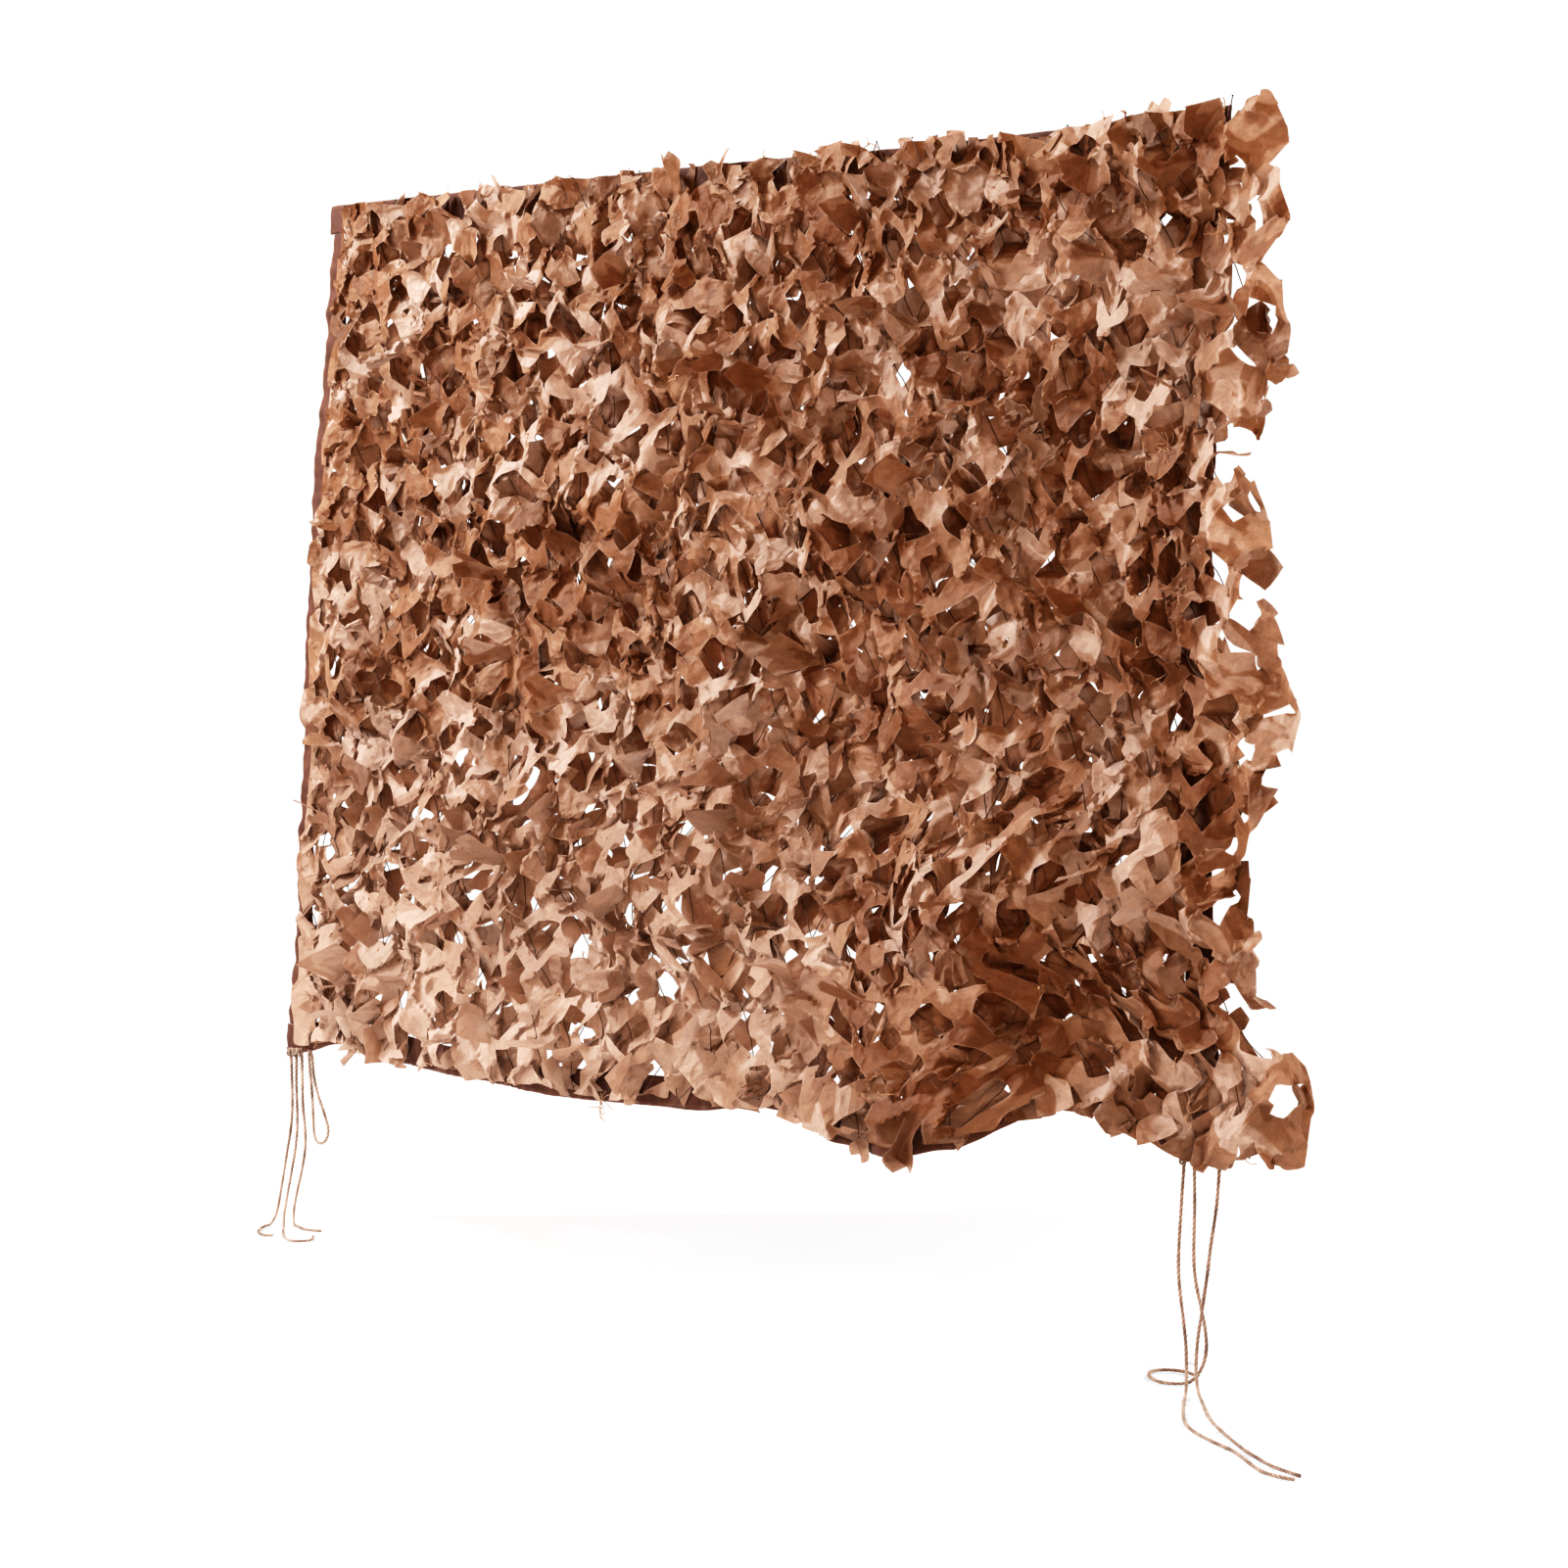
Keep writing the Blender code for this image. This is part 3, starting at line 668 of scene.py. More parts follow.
def cut_cloth(draw, ply):
    """The flat cloth parted along its cuts.

    Gives its flat points, its triangles, each point's leaf (-1 on the web), the hinges of the leaves
    with their directions, and whether each point is on a cut.
    """
    wide = ply["flat_reach"] * FLAT_WIDE
    cuts = leaf_cuts(draw, ply)
    nearest = cuts[:, :, 0].min(axis=1)
    cuts = cuts[(nearest > LEFT_CLEAR) & (nearest < wide)]
    points, faces, seams = triangulated(cuts, wide, draw)
    leaf = leaf_of_faces(points[faces].mean(axis=1), cuts)
    hinges = (cuts[:, 0] + cuts[:, -1]) / 2
    held = (hinges > HINGE_CLEAR) & (hinges < np.array([wide, FLAT_TALL]) - HINGE_CLEAR)
    held = held.all(axis=1)
    kept = (leaf < 0) | held[leaf]
    tears = np.random.default_rng(TEAR_SEED)
    kept &= ~torn_away(points[faces].mean(axis=1), leaf, ply["row_shift"], tears)
    faces, leaf = faces[kept], leaf[kept]
    points = tears_smoothed(points, faces, seams)
    first, faces = parted(points, faces, seams)
    on_seam = np.isin(first, seams)
    main = islands(len(first), faces)
    main = main == np.bincount(main).argmax()
    faces, leaf = faces[main[faces[:, 0]]], leaf[main[faces[:, 0]]]
    used, new = np.unique(faces, return_inverse=True)
    faces = new.reshape(-1, 3)
    leaf_of = np.full(len(used), -1)
    for k in range(3):
        leaf_of[faces[leaf >= 0, k]] = leaf[leaf >= 0]
    leaf_of[faces[leaf < 0].reshape(-1)] = -1
    towards = unit(cuts[:, cuts.shape[1] // 2] - hinges)
    return points[first[used]], faces, leaf_of, hinges, towards, on_seam[used]


# ---------------------------------------------------------------- the leaf cloth, hung


def arc(length, bend, start):
    """How far a strip reaches and stands out when it leaves at an angle and bends steadily."""
    bend = np.where(abs(bend) < 1, 1, bend)
    reach = (np.sin(start + bend * length) - np.sin(start)) / bend
    return reach, (np.cos(start) - np.cos(start + bend * length)) / bend


def ridge(width):
    """How far a fold stands up at the given places across it, a little rounded at its middle."""
    return np.sqrt(width ** 2 + FOLD_ROUND ** 2) - FOLD_ROUND


def leaf_shapes(draw, ply, flat, leaf_of, hinges, towards):
    """Each leaf point's place beside its flat cloth: across, down and out."""
    count = len(hinges)
    front = np.where(draw.random(count) < ply["to_front"], 1.0, -1.0)
    lean = np.radians(draw.uniform(*ply["lean"], count))
    lean = lean + np.radians(ply["open_lean"]) * openness(hinges[:, 0], hinges[:, 1])
    curl = draw.uniform(*ply["curl"], count)
    fold = np.radians(draw.uniform(*ply["fold"], count))
    twist = draw.uniform(-LEAF_TWIST, LEAF_TWIST, count)
    tip_fold = np.radians(draw.uniform(*ply["tip_fold"], count))[leaf_of]
    tip_from = draw.uniform(*TIP_FROM, count)[leaf_of]
    slant = draw.uniform(-TIP_SLANT, TIP_SLANT, count)[leaf_of]
    way = flat - hinges[leaf_of]
    ahead = towards[leaf_of]
    aside = np.stack([ahead[:, 1], -ahead[:, 0]], axis=-1)
    length = np.maximum((way * ahead).sum(axis=1), 0)
    width = (way * aside).sum(axis=1)
    reach, out = arc(length, curl[leaf_of], lean[leaf_of])
    from_hinge = np.clip(length / HINGE_EASE, 0, 1)
    out = out + from_hinge * ridge(width) * np.sin(fold[leaf_of]) + twist[leaf_of] * width * length
    past = length * np.cos(slant) + width * np.sin(slant) - tip_from
    past = (past + np.sqrt(past ** 2 + TIP_ROUND ** 2)) / 2
    out = out + past * np.sin(tip_fold)
    reach = reach - past * (1 - np.cos(tip_fold))
    width = width * (1 - from_hinge * (1 - np.cos(fold[leaf_of])))
    place = hinges[leaf_of] + ahead * reach[:, None] + aside * width[:, None]
    return np.column_stack([place, front[leaf_of] * out])


def tie_points(row_shift=0.0):
    """Where the leaf cloth is laced to the string mesh, on the flat cloth: rows and columns of places."""
    places = []
    for row in range(CELL_ROWS + 1):
        for column in range(CELL_COLUMNS + 2):
            u = (column + 0.5 * (row % 2)) * CELL_WIDE
            v = row_place(row, u, row_shift)
            if u <= FLAT_WIDE + 0.001 and v <= FLAT_TALL + 0.001:
                places.append((u, v, row, column))
    return np.array(places)


def matched(points, shape, patch, sizes, stiffness):
    """The points drawn towards their own patch's shape, laid on them as a rigid piece."""
    count = len(sizes)
    middle = np.stack([np.bincount(patch, points[:, k], count) for k in range(3)], axis=-1) / sizes[:, None]
    away = points - middle[patch]
    spread = np.empty((count, 3, 3))
    for i in range(3):
        for j in range(3):
            spread[:, i, j] = np.bincount(patch, away[:, i] * shape[:, j], count)
    left, _, right = np.linalg.svd(spread + np.eye(3) * 1e-12)
    left[:, :, 2] *= np.sign(np.linalg.det(left @ right))[:, None]
    goal = middle[patch] + np.einsum("nij,nj->ni", (left @ right)[patch], shape)
    return points + (goal - points) * stiffness


def lacing_reach(flat, patch, pinned):
    """For each laced point the points that move with it, as rows of one near point for every laced point."""
    tree = tree_of(flat)
    found = [tree.find_n((*flat[k], 0), LACED_NEAR) for k in pinned]
    rows = []
    for n in range(LACED_NEAR):
        spots = np.array([hits[n][1] for hits in found])
        away = np.array([hits[n][2] for hits in found])
        weights = np.exp(-((away / LACED_RADIUS) ** 2)) * (patch[spots] == patch[pinned])
        rows.append((spots, weights))
    return rows


def settled(points, flat, faces, shape, patch, pinned, targets, rounds):
    """The hung points once every edge has its flat length and every patch its own shape."""
    count = len(points)
    near = lacing_reach(flat, patch, pinned)
    sides = sides_of(faces)
    keys = edge_keys(sides, count)
    _, once = np.unique(keys, return_index=True)
    opposite = np.concatenate([faces[:, 2], faces[:, 0], faces[:, 1]])
    one, other = twins(keys)
    pairs = np.concatenate([sides[once], np.stack([opposite[one], opposite[other]], axis=-1)])
    stiffness = np.concatenate([np.ones(len(once)), np.full(len(one), BEND_STIFFNESS)])
    length = np.linalg.norm(flat[pairs[:, 0]] - flat[pairs[:, 1]], axis=1)
    ends = pairs.T.reshape(-1)
    weight = np.bincount(ends, np.tile(stiffness, 2), count) + HELD_BACK
    sizes = np.maximum(np.bincount(patch), 1).astype(float)
    middle = np.stack([np.bincount(patch, shape[:, k]) for k in range(3)], axis=-1) / sizes[:, None]
    shape = shape - middle[patch]
    # The shape is given as across, down and out
    shape = np.stack([shape[:, 0], -shape[:, 2], -shape[:, 1]], axis=-1)
    for turn in range(rounds):
        way = points[pairs[:, 1]] - points[pairs[:, 0]]
        now = np.sqrt((way * way).sum(axis=1)) + 1e-12
        pull = way * (0.5 * stiffness * (now - length) / now)[:, None]
        for k in range(3):
            moves = np.concatenate([pull[:, k], -pull[:, k]])
            points[:, k] += OVERSTEP * np.bincount(ends, moves, count) / weight
        points[:, 2] -= SINK
        if turn % SHAPE_EVERY == 0:
            last = turn >= rounds * LAST_PART
            points = matched(points, shape, patch, sizes, LAST_SHAPE_STIFFNESS if last else SHAPE_STIFFNESS)
        pull = (targets - points[pinned]) / 2
        for spots, weights in near:
            points[spots] += pull * weights[:, None]
    return points


def kept_off_bands(points):
    """The points kept in front of the border bands, and not far behind the net elsewhere."""
    x = points[:, 0]
    drop = -points[:, 2]
    for _ in range(3):
        drop = -points[:, 2] - hem_lift(x, drop)
    from_band = np.minimum.reduce([
        drop - BAND_WIDE,
        HEIGHT - BAND_WIDE - drop,
        x - blend(LEFT_EDGE, drop, 1) - BAND_WIDE,
        abs(x - RIGHT_BAND_X - BAND_WIDE / 2) - BAND_WIDE / 2,
    ])
    ease = np.clip(from_band / BAND_EASE, 0, 1)
    furthest = on_cloth(x, drop)[:, 1] - FRONT_OF_BAND + (FRONT_OF_BAND + BEHIND_BANDS) * ease
    points[:, 1] = np.minimum(points[:, 1], furthest)
    return points


def web_shapes(draw, ply, flat, ties, web):
    """Each web point's place as across, down and out, bent about its tie point: lying flat, then tilted."""
    count = len(ties)
    turn = draw.uniform(0, math.tau, count)
    tilt = np.radians(draw.uniform(*ply["web_tilt"], count))[web]
    bend = draw.uniform(-WEB_BEND, WEB_BEND, count)[web]
    fold = np.radians(draw.uniform(-WEB_FOLD, WEB_FOLD, count))[web]
    way = flat - ties[web]
    ahead = np.stack([np.cos(turn), np.sin(turn)], axis=-1)[web]
    aside = np.stack([-ahead[:, 1], ahead[:, 0]], axis=-1)
    width = (way * aside).sum(axis=1)
    reach, out = arc((way * ahead).sum(axis=1), bend, np.zeros(len(web)))
    out = out + ridge(width) * np.sin(fold)
    width = width * np.cos(fold)
    tilted = (reach * np.cos(tilt) - out * np.sin(tilt), reach * np.sin(tilt) + out)
    return [
        np.column_stack([ties[web] + ahead * far[:, None] + aside * width[:, None], up])
        for far, up in ((reach, out), tilted)
    ]


def ruffled(flat, draw):
    """The first small waves of the cloth."""
    height = np.zeros(len(flat))
    for _ in range(RUFFLES):
        way = draw.uniform(0, math.pi)
        wave = math.tau / draw.uniform(*RUFFLE_WAVES)
        height += np.sin(wave * (flat @ (math.cos(way), math.sin(way))) + draw.uniform(0, math.tau))
    return height


def hung_ply(ply, rounds):
    """One ply of the leaf cloth.

    Gives its hung points, its triangles, its flat points, each point's tint, whether it is on a cut, and
    the laced places.
    """
    draw = np.random.default_rng(ply["seed"])
    flat, faces, leaf_of, hinges, towards, on_seam = cut_cloth(draw, ply)
    on_leaf = leaf_of >= 0
    ties = tie_points(ply["row_shift"])[:, :2]
    tree = tree_of(ties)
    nearest = np.array([tree.find((u, v, 0))[1] for u, v in flat])
    patch = np.where(on_leaf, len(ties) + leaf_of, nearest)
    shape = np.zeros((len(flat), 3))
    shape[on_leaf] = leaf_shapes(draw, ply, flat[on_leaf], leaf_of[on_leaf], hinges, towards)
    start = shape.copy()
    shape[~on_leaf], start[~on_leaf] = web_shapes(draw, ply, flat[~on_leaf], ties, nearest[~on_leaf])
    ruffle = FIRST_RUFFLE * ruffled(flat, draw) / math.sqrt(RUFFLES / 2)
    points = hung(start[:, :2], start[:, 2] + ruffle + ply["out"])
    tree = tree_of(flat)
    reach = ply["flat_reach"] * FLAT_WIDE
    left, right = LACED_FROM_SIDES
    inner = ties[(ties[:, 0] > left) & (ties[:, 0] < reach - right)]
    pinned = np.unique([tree.find((u, v, 0))[1] for u, v in inner])
    astray = draw.normal(0, LACED_ASTRAY, (len(pinned), 2))
    targets = hung(flat[pinned] + astray, np.full(len(pinned), LACED_OUT * ply["out"]))
    points = settled(points, flat, faces, shape, patch, pinned, targets, rounds)
    tints = draw.random(len(ties) + len(hinges))
    points = kept_off_bands(points)
    return points, faces, flat, tints[patch], on_seam, points[pinned]


# ---------------------------------------------------------------- meshes, materials and node trees


def linked(name, data):
    """A new object in the scene, at the origin."""
    made = bpy.data.objects.new(name, data)
    bpy.context.scene.collection.objects.link(made)
    return made


def riding(name, mesh):
    """A finished mesh as an object that rides on the net."""
    made = linked(name, mesh)
    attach(made, "root")
    return made


def piece(name, points, faces, material, slot, vectors=None, numbers=None):
    """A mesh piece with its attributes."""
    mesh = bpy.data.meshes.new(name)
    mesh.from_pydata(np.asarray(points).tolist(), [], faces if isinstance(faces, list) else faces.tolist())
    for label, values in (vectors or {}).items():
        attribute = mesh.attributes.new(label, "FLOAT_VECTOR", "POINT")
        attribute.data.foreach_set("vector", np.asarray(values, np.float32).reshape(-1))
    for label, values in (numbers or {}).items():
        attribute = mesh.attributes.new(label, "FLOAT", "POINT")
        attribute.data.foreach_set("value", np.asarray(values, np.float32))
    mesh.shade_smooth()
    mesh.materials.append(material)
    return riding(name, mesh)


def merged(parts):
    """The points and faces of several meshes as one."""
    points, faces = [], []
    for some, around in parts:
        first = len(points)
        points += some.tolist()
        faces += [[first + corner for corner in face] for face in around]
    return points, faces


def node(tree, kind, values=None, **settings):
    """A node with its settings. A value that is a socket is linked, any other is set."""
    made = tree.nodes.new(kind)
    for name, setting in settings.items():
        setattr(made, name, setting)
    for name, value in (values or {}).items():
        if isinstance(value, bpy.types.NodeSocket):
            tree.links.new(value, made.inputs[name])
        else:
            made.inputs[name].default_value = value
    return made


def ramp(tree, factor, stops):
    """A colour ramp. stops are (place, colour)."""
    made = node(tree, "ShaderNodeValToRGB", {"Fac": factor})
    elements = made.color_ramp.elements
    while len(elements) > 1:
        elements.remove(elements[-1])
    elements[0].position, elements[0].color = stops[0][0], (*stops[0][1], 1)
    for place, colour in stops[1:]:
        elements.new(place).color = (*colour, 1)
    return made.outputs["Color"]


def noise(tree, place, scale, detail, distortion=0.0, output="Fac"):
    """A noise texture's value."""
    return node(tree, "ShaderNodeTexNoise", {
        "Vector": place, "Scale": scale, "Detail": detail, "Distortion": distortion,
    }).outputs[output]


def stored(tree, name, output="Fac"):
    """What a piece's named attribute holds."""
    return node(tree, "ShaderNodeAttribute", attribute_name=name).outputs[output]


def mixed(tree, factor, first, second, how="MIX"):
    """Two colours mixed."""
    made = node(tree, "ShaderNodeMix", {0: factor, 6: first, 7: second}, data_type="RGBA", blend_type=how)
    return made.outputs[2]


def multiplied(tree, colour, *others):
    """Colours multiplied together."""
    for other in others:
        colour = mixed(tree, 1.0, colour, other, "MULTIPLY")
    return colour


def sums(tree, operation, *values):
    """A Math node's result."""
    return node(tree, "ShaderNodeMath", dict(enumerate(values)), operation=operation).outputs[0]


def weave(tree, place, pitch):
    """The height of a plain weave with the given thread pitch, from -1 to 1."""
    turns = math.tau / pitch
    split = node(tree, "ShaderNodeSeparateXYZ", {"Vector": place})
    across = sums(tree, "SINE", sums(tree, "MULTIPLY", split.outputs["X"], turns))
    down = sums(tree, "SINE", sums(tree, "MULTIPLY", split.outputs["Y"], turns))
    return sums(tree, "MULTIPLY", across, down)


def creases(tree, place, scale):
    """The height of a cloth that was crushed flat: even slopes that meet in sharp creases."""
    colour = noise(tree, place, scale, 1.0, 0.3, "Color")
    split = node(tree, "ShaderNodeSeparateColor", {"Color": colour})
    height = None
    for label, share in (("Red", 1.0), ("Green", 0.8), ("Blue", 0.6)):
        level = sums(tree, "ABSOLUTE", sums(tree, "SUBTRACT", split.outputs[label], 0.5))
        slope = sums(tree, "MULTIPLY", level, share)
        height = slope if height is None else sums(tree, "ADD", height, slope)
    return height


def bumped(tree, height, distance, strength, under=None):
    """A bump on the given height, over another one where given."""
    values = {"Height": height, "Distance": distance, "Strength": strength}
    if under is not None:
        values["Normal"] = under
    return node(tree, "ShaderNodeBump", values).outputs["Normal"]


def blank_material(name):
    """A material with no nodes yet, and its tree."""
    made = bpy.data.materials.new(name)
    made.use_nodes = True
    made.node_tree.nodes.clear()
    return made, made.node_tree


def shown(tree, shader, output="ShaderNodeOutputMaterial"):
    """The shader at the end of its tree."""
    node(tree, output, {"Surface": shader.outputs[0]})


def leaf_cloth_material(name, colours, painted_shade, through):
    """Thin printed cloth, dull with a soft sheen, that lets some light through, with painted shade and
    highlights.
    """
    material, tree = blank_material(name)
    place = stored(tree, "flat", "Vector")
    # Every colour is scaled by the ply's factor: painted shade that darkens the back ply
    dark, middle, light, pale = (
        tuple(value * share for value, share in zip(colour, painted_shade))
        for colour in (colours.dark, colours.middle, colours.light, colours.wear_and_highlight)
    )
    patches = noise(tree, place, 9.0, 2.5, 0.8)
    print_level = sums(tree, "MULTIPLY_ADD", noise(tree, place, 3.2, 1.0), 0.60, patches)
    printed = ramp(tree, print_level, ((0.72, dark), (0.74, middle), (0.845, middle), (0.87, light)))
    fading = noise(tree, place, 60.0, 3.0)
    faded = ramp(tree, fading, ((0.3, (0.84, 0.82, 0.80)), (0.7, (1.12, 1.12, 1.12))))
    tinted = ramp(tree, stored(tree, "tint"), LEAF_TINTS)
    cloth = multiplied(tree, printed, faded, tinted)
    # Pale cut edges: partly frayed wear, partly a painted rim highlight
    frayed = noise(tree, place, 260.0, 2.0)
    wear_and_highlight = sums(tree, "MULTIPLY", sums(tree, "POWER", stored(tree, "cut_edge"), 6.0), frayed)
    cloth = mixed(tree, wear_and_highlight, cloth, (*colours.wear_and_highlight, 1.0))
    # Painted highlight: paler towards the low left, where the cloth hangs open; pale is its colour
    cloth = mixed(tree, sums(tree, "MULTIPLY", stored(tree, "painted_highlight_low_left"), 0.62), cloth, (*pale, 1.0))
    grain = noise(tree, place, 620.0, 2.0)
    speckle = ramp(tree, grain, ((0.3, (0.86, 0.85, 0.84)), (0.7, (1.12, 1.12, 1.12))))
    cloth = multiplied(tree, cloth, speckle)
    creased = bumped(tree, creases(tree, place, 25.0), 0.012, 0.8)
    creased = bumped(tree, creases(tree, place, 60.0), 0.004, 0.45, creased)
    woven = bumped(tree, weave(tree, place, 0.0012), 0.0003, 0.35, creased)
    surface = node(tree, "ShaderNodeBsdfPrincipled", {
        "Base Color": cloth,
        "Roughness": sums(tree, "MULTIPLY_ADD", fading, 0.2, 0.36),
        "Normal": woven,
        "Sheen Weight": 0.05,
        "Sheen Roughness": 0.4,
        "Specular IOR Level": 0.42,
    })
    behind = node(tree, "ShaderNodeBsdfTranslucent", {"Color": cloth, "Normal": woven})
    shown(tree, node(tree, "ShaderNodeMixShader", {0: through, 1: surface.outputs[0], 2: behind.outputs[0]}))
    return material


def band_cloth_material(colour, thread):
    """Thick twilled tape, with painted shade in the hollows of its twill, and rubbed along its edges."""
    material, tree = blank_material("band_twill")
    place = stored(tree, "flat", "Vector")
    twill = node(tree, "ShaderNodeTexWave", {
        "Vector": place, "Scale": 190.0, "Distortion": 0.6, "Detail": 1.0,
    }, wave_type="BANDS", bands_direction="DIAGONAL").outputs["Fac"]
    grime = noise(tree, place, 26.0, 4.0)
    dirty = ramp(tree, grime, ((0.3, (0.62, 0.60, 0.60)), (0.7, (1.25, 1.22, 1.2))))
    # Painted shade: darker in the hollows of the twill
    twill_painted_shade = ramp(tree, twill, ((0.2, (0.78, 0.76, 0.76)), (0.8, (1.1, 1.1, 1.1))))
    rubbed = sums(tree, "MULTIPLY", sums(tree, "POWER", stored(tree, "rim"), 4.0), grime)
    cloth = mixed(tree, rubbed, multiplied(tree, (*colour, 1.0), dirty, twill_painted_shade), (*thread, 1.0))
    soft = bumped(tree, noise(tree, place, 30.0, 3.0, 1.2), 0.003, 0.6)
    shown(tree, node(tree, "ShaderNodeBsdfPrincipled", {
        "Base Color": cloth,
        "Roughness": sums(tree, "MULTIPLY_ADD", grime, 0.25, 0.5),
        "Normal": bumped(tree, twill, 0.0004, 0.5, soft),
        "Sheen Weight": 0.05,
        "Sheen Roughness": 0.5,
        "Specular IOR Level": 0.18,
    }))
    return material


def fibre_material(name, dark, light, scale, roughness):
    """Twisted fibre with darker and lighter stretches, and painted shade deep in the grooves of a rope."""
    material, tree = blank_material(name)
    place = node(tree, "ShaderNodeTexCoord").outputs["Object"]
    fine = noise(tree, place, scale * 14, 4.0)
    stretch = ramp(tree, noise(tree, place, scale, 3.0), ((0.35, tuple(dark)), (0.65, tuple(light))))
    speckle = ramp(tree, fine, ((0.3, (0.70, 0.66, 0.62)), (0.7, (1.2, 1.18, 1.15))))
    # Painted shade: darker the deeper a point lies in a groove between strands
    painted_groove_shade = ramp(tree, stored(tree, "groove"), ((0.2, (1.0, 1.0, 1.0)), (0.75, (0.26, 0.20, 0.17))))
    shown(tree, node(tree, "ShaderNodeBsdfPrincipled", {
        "Base Color": multiplied(tree, stretch, speckle, painted_groove_shade),
        "Roughness": roughness,
        "Normal": bumped(tree, fine, 0.0004, 0.6),
        "Sheen Weight": 0.15,
    }))
    return material


def geometry_tree(name, *labels):
    """A Geometry Nodes tree with only its named inputs, which are numbers. Seed is a whole one."""
    tree = bpy.data.node_groups.new(name, "GeometryNodeTree")
    tree.interface.new_socket("Geometry", in_out="INPUT", socket_type="NodeSocketGeometry")
    for label in labels:
        kind = "NodeSocketInt" if label == "Seed" else "NodeSocketFloat"
        tree.interface.new_socket(label, in_out="INPUT", socket_type=kind)
    tree.interface.new_socket("Geometry", in_out="OUTPUT", socket_type="NodeSocketGeometry")
    return tree, tree.nodes.new("NodeGroupInput").outputs


def end_tree(tree, material, *parts):
    """The tree's last nodes: its parts as one, real copies, smooth faces and the material."""
    one = node(tree, "GeometryNodeJoinGeometry")
    for part in parts:
        tree.links.new(part, one.inputs[0])
    real = node(tree, "GeometryNodeRealizeInstances", {"Geometry": one.outputs[0]})
    smooth = node(tree, "GeometryNodeSetShadeSmooth", {"Geometry": real.outputs[0]})
    dressed = node(tree, "GeometryNodeSetMaterial", {"Geometry": smooth.outputs[0], "Material": material})
    tree.links.new(dressed.outputs[0], tree.nodes.new("NodeGroupOutput").inputs[0])
    return tree


def arch(tree, steps, middle, end):
    """A curve that leaves the origin and bends to its end."""
    return node(tree, "GeometryNodeCurveQuadraticBezier", {
        "Resolution": steps, "Start": (0, 0, 0), "Middle": middle, "End": end,
    }).outputs[0]


def tube(tree, curve, radius, corners=5, closed=True):
    """A thin tube along the curve."""
    ring = node(tree, "GeometryNodeCurvePrimitiveCircle", {"Resolution": corners, "Radius": radius})
    return node(tree, "GeometryNodeCurveToMesh", {
        "Curve": curve, "Profile Curve": ring.outputs[0], "Fill Caps": closed,
    }).outputs[0]


def knot_lump(tree, size):
    """A knot as a small round lump."""
    radius = sums(tree, "MULTIPLY", size, 0.5)
    return node(tree, "GeometryNodeMeshIcoSphere", {"Radius": radius, "Subdivisions": 2}).outputs[0]


def random_number(tree, least, most, seed=0):
    """A number for each point."""
    values = {2: least, 3: most, "Seed": seed}
    return node(tree, "FunctionNodeRandomValue", values, data_type="FLOAT").outputs[1]


def random_vector(tree, least, most, seed=0):
    """Three numbers for each point."""
    values = {0: least, 1: most, "Seed": seed}
    return node(tree, "FunctionNodeRandomValue", values, data_type="FLOAT_VECTOR").outputs[0]


def copies(tree, points, form, turn, size):
    """The form at every point."""
    return node(tree, "GeometryNodeInstanceOnPoints", {
        "Points": points, "Instance": form, "Rotation": turn, "Scale": size,
    }).outputs[0]


def grown(name, tree, sizes, points, edges=(), faces=()):
    """A plain mesh piece made by the tree on the given points, edges and faces."""
    base = bpy.data.meshes.new(name + "_base")
    base.from_pydata(np.asarray(points).tolist(), edges, faces)
    carrier = linked(name + "_base", base)
    modifier = carrier.modifiers.new("grown", "NODES")
    modifier.node_group = tree
    for item in tree.interface.items_tree:
        if item.item_type == "SOCKET" and item.in_out == "INPUT" and item.name in sizes:
            modifier[item.identifier] = sizes[item.name]
    graph = bpy.context.evaluated_depsgraph_get()
    mesh = bpy.data.meshes.new_from_object(carrier.evaluated_get(graph), depsgraph=graph)
    bpy.data.objects.remove(carrier)
    bpy.data.meshes.remove(base)
    if not mesh.polygons or not mesh.materials:
        raise RuntimeError(f"{name}: its tree made no faces, or none with a material")
    mesh.name = name
    return riding(name, mesh)


def fibre_tree(material):
    """Curved fibres that stand up from the faces they grow on."""
    tree, given = geometry_tree("fibres", "Density", "Fibre Length", "Fibre Thickness", "Seed")
    spots = node(tree, "GeometryNodeDistributePointsOnFaces", {
        "Mesh": given["Geometry"], "Density": given["Density"], "Seed": given["Seed"],
    })
    bow = arch(tree, 4, (0.15, 0.05, 0.55), (0.55, 0.12, 0.8))
    thin = sums(tree, "DIVIDE", given["Fibre Thickness"], given["Fibre Length"])
    turn = node(tree, "FunctionNodeRotateRotation", {
        "Rotation": spots.outputs["Rotation"],
        "Rotate By": random_vector(tree, (-0.9, -0.9, 0.0), (0.9, 0.9, math.tau), given["Seed"]),
    }, rotation_space="LOCAL")
    length = sums(tree, "MULTIPLY", random_number(tree, 0.35, 1.0, given["Seed"]), given["Fibre Length"])
    fibre = tube(tree, bow, thin, 3, False)
    return end_tree(tree, material, copies(tree, spots.outputs["Points"], fibre, turn.outputs[0], length))


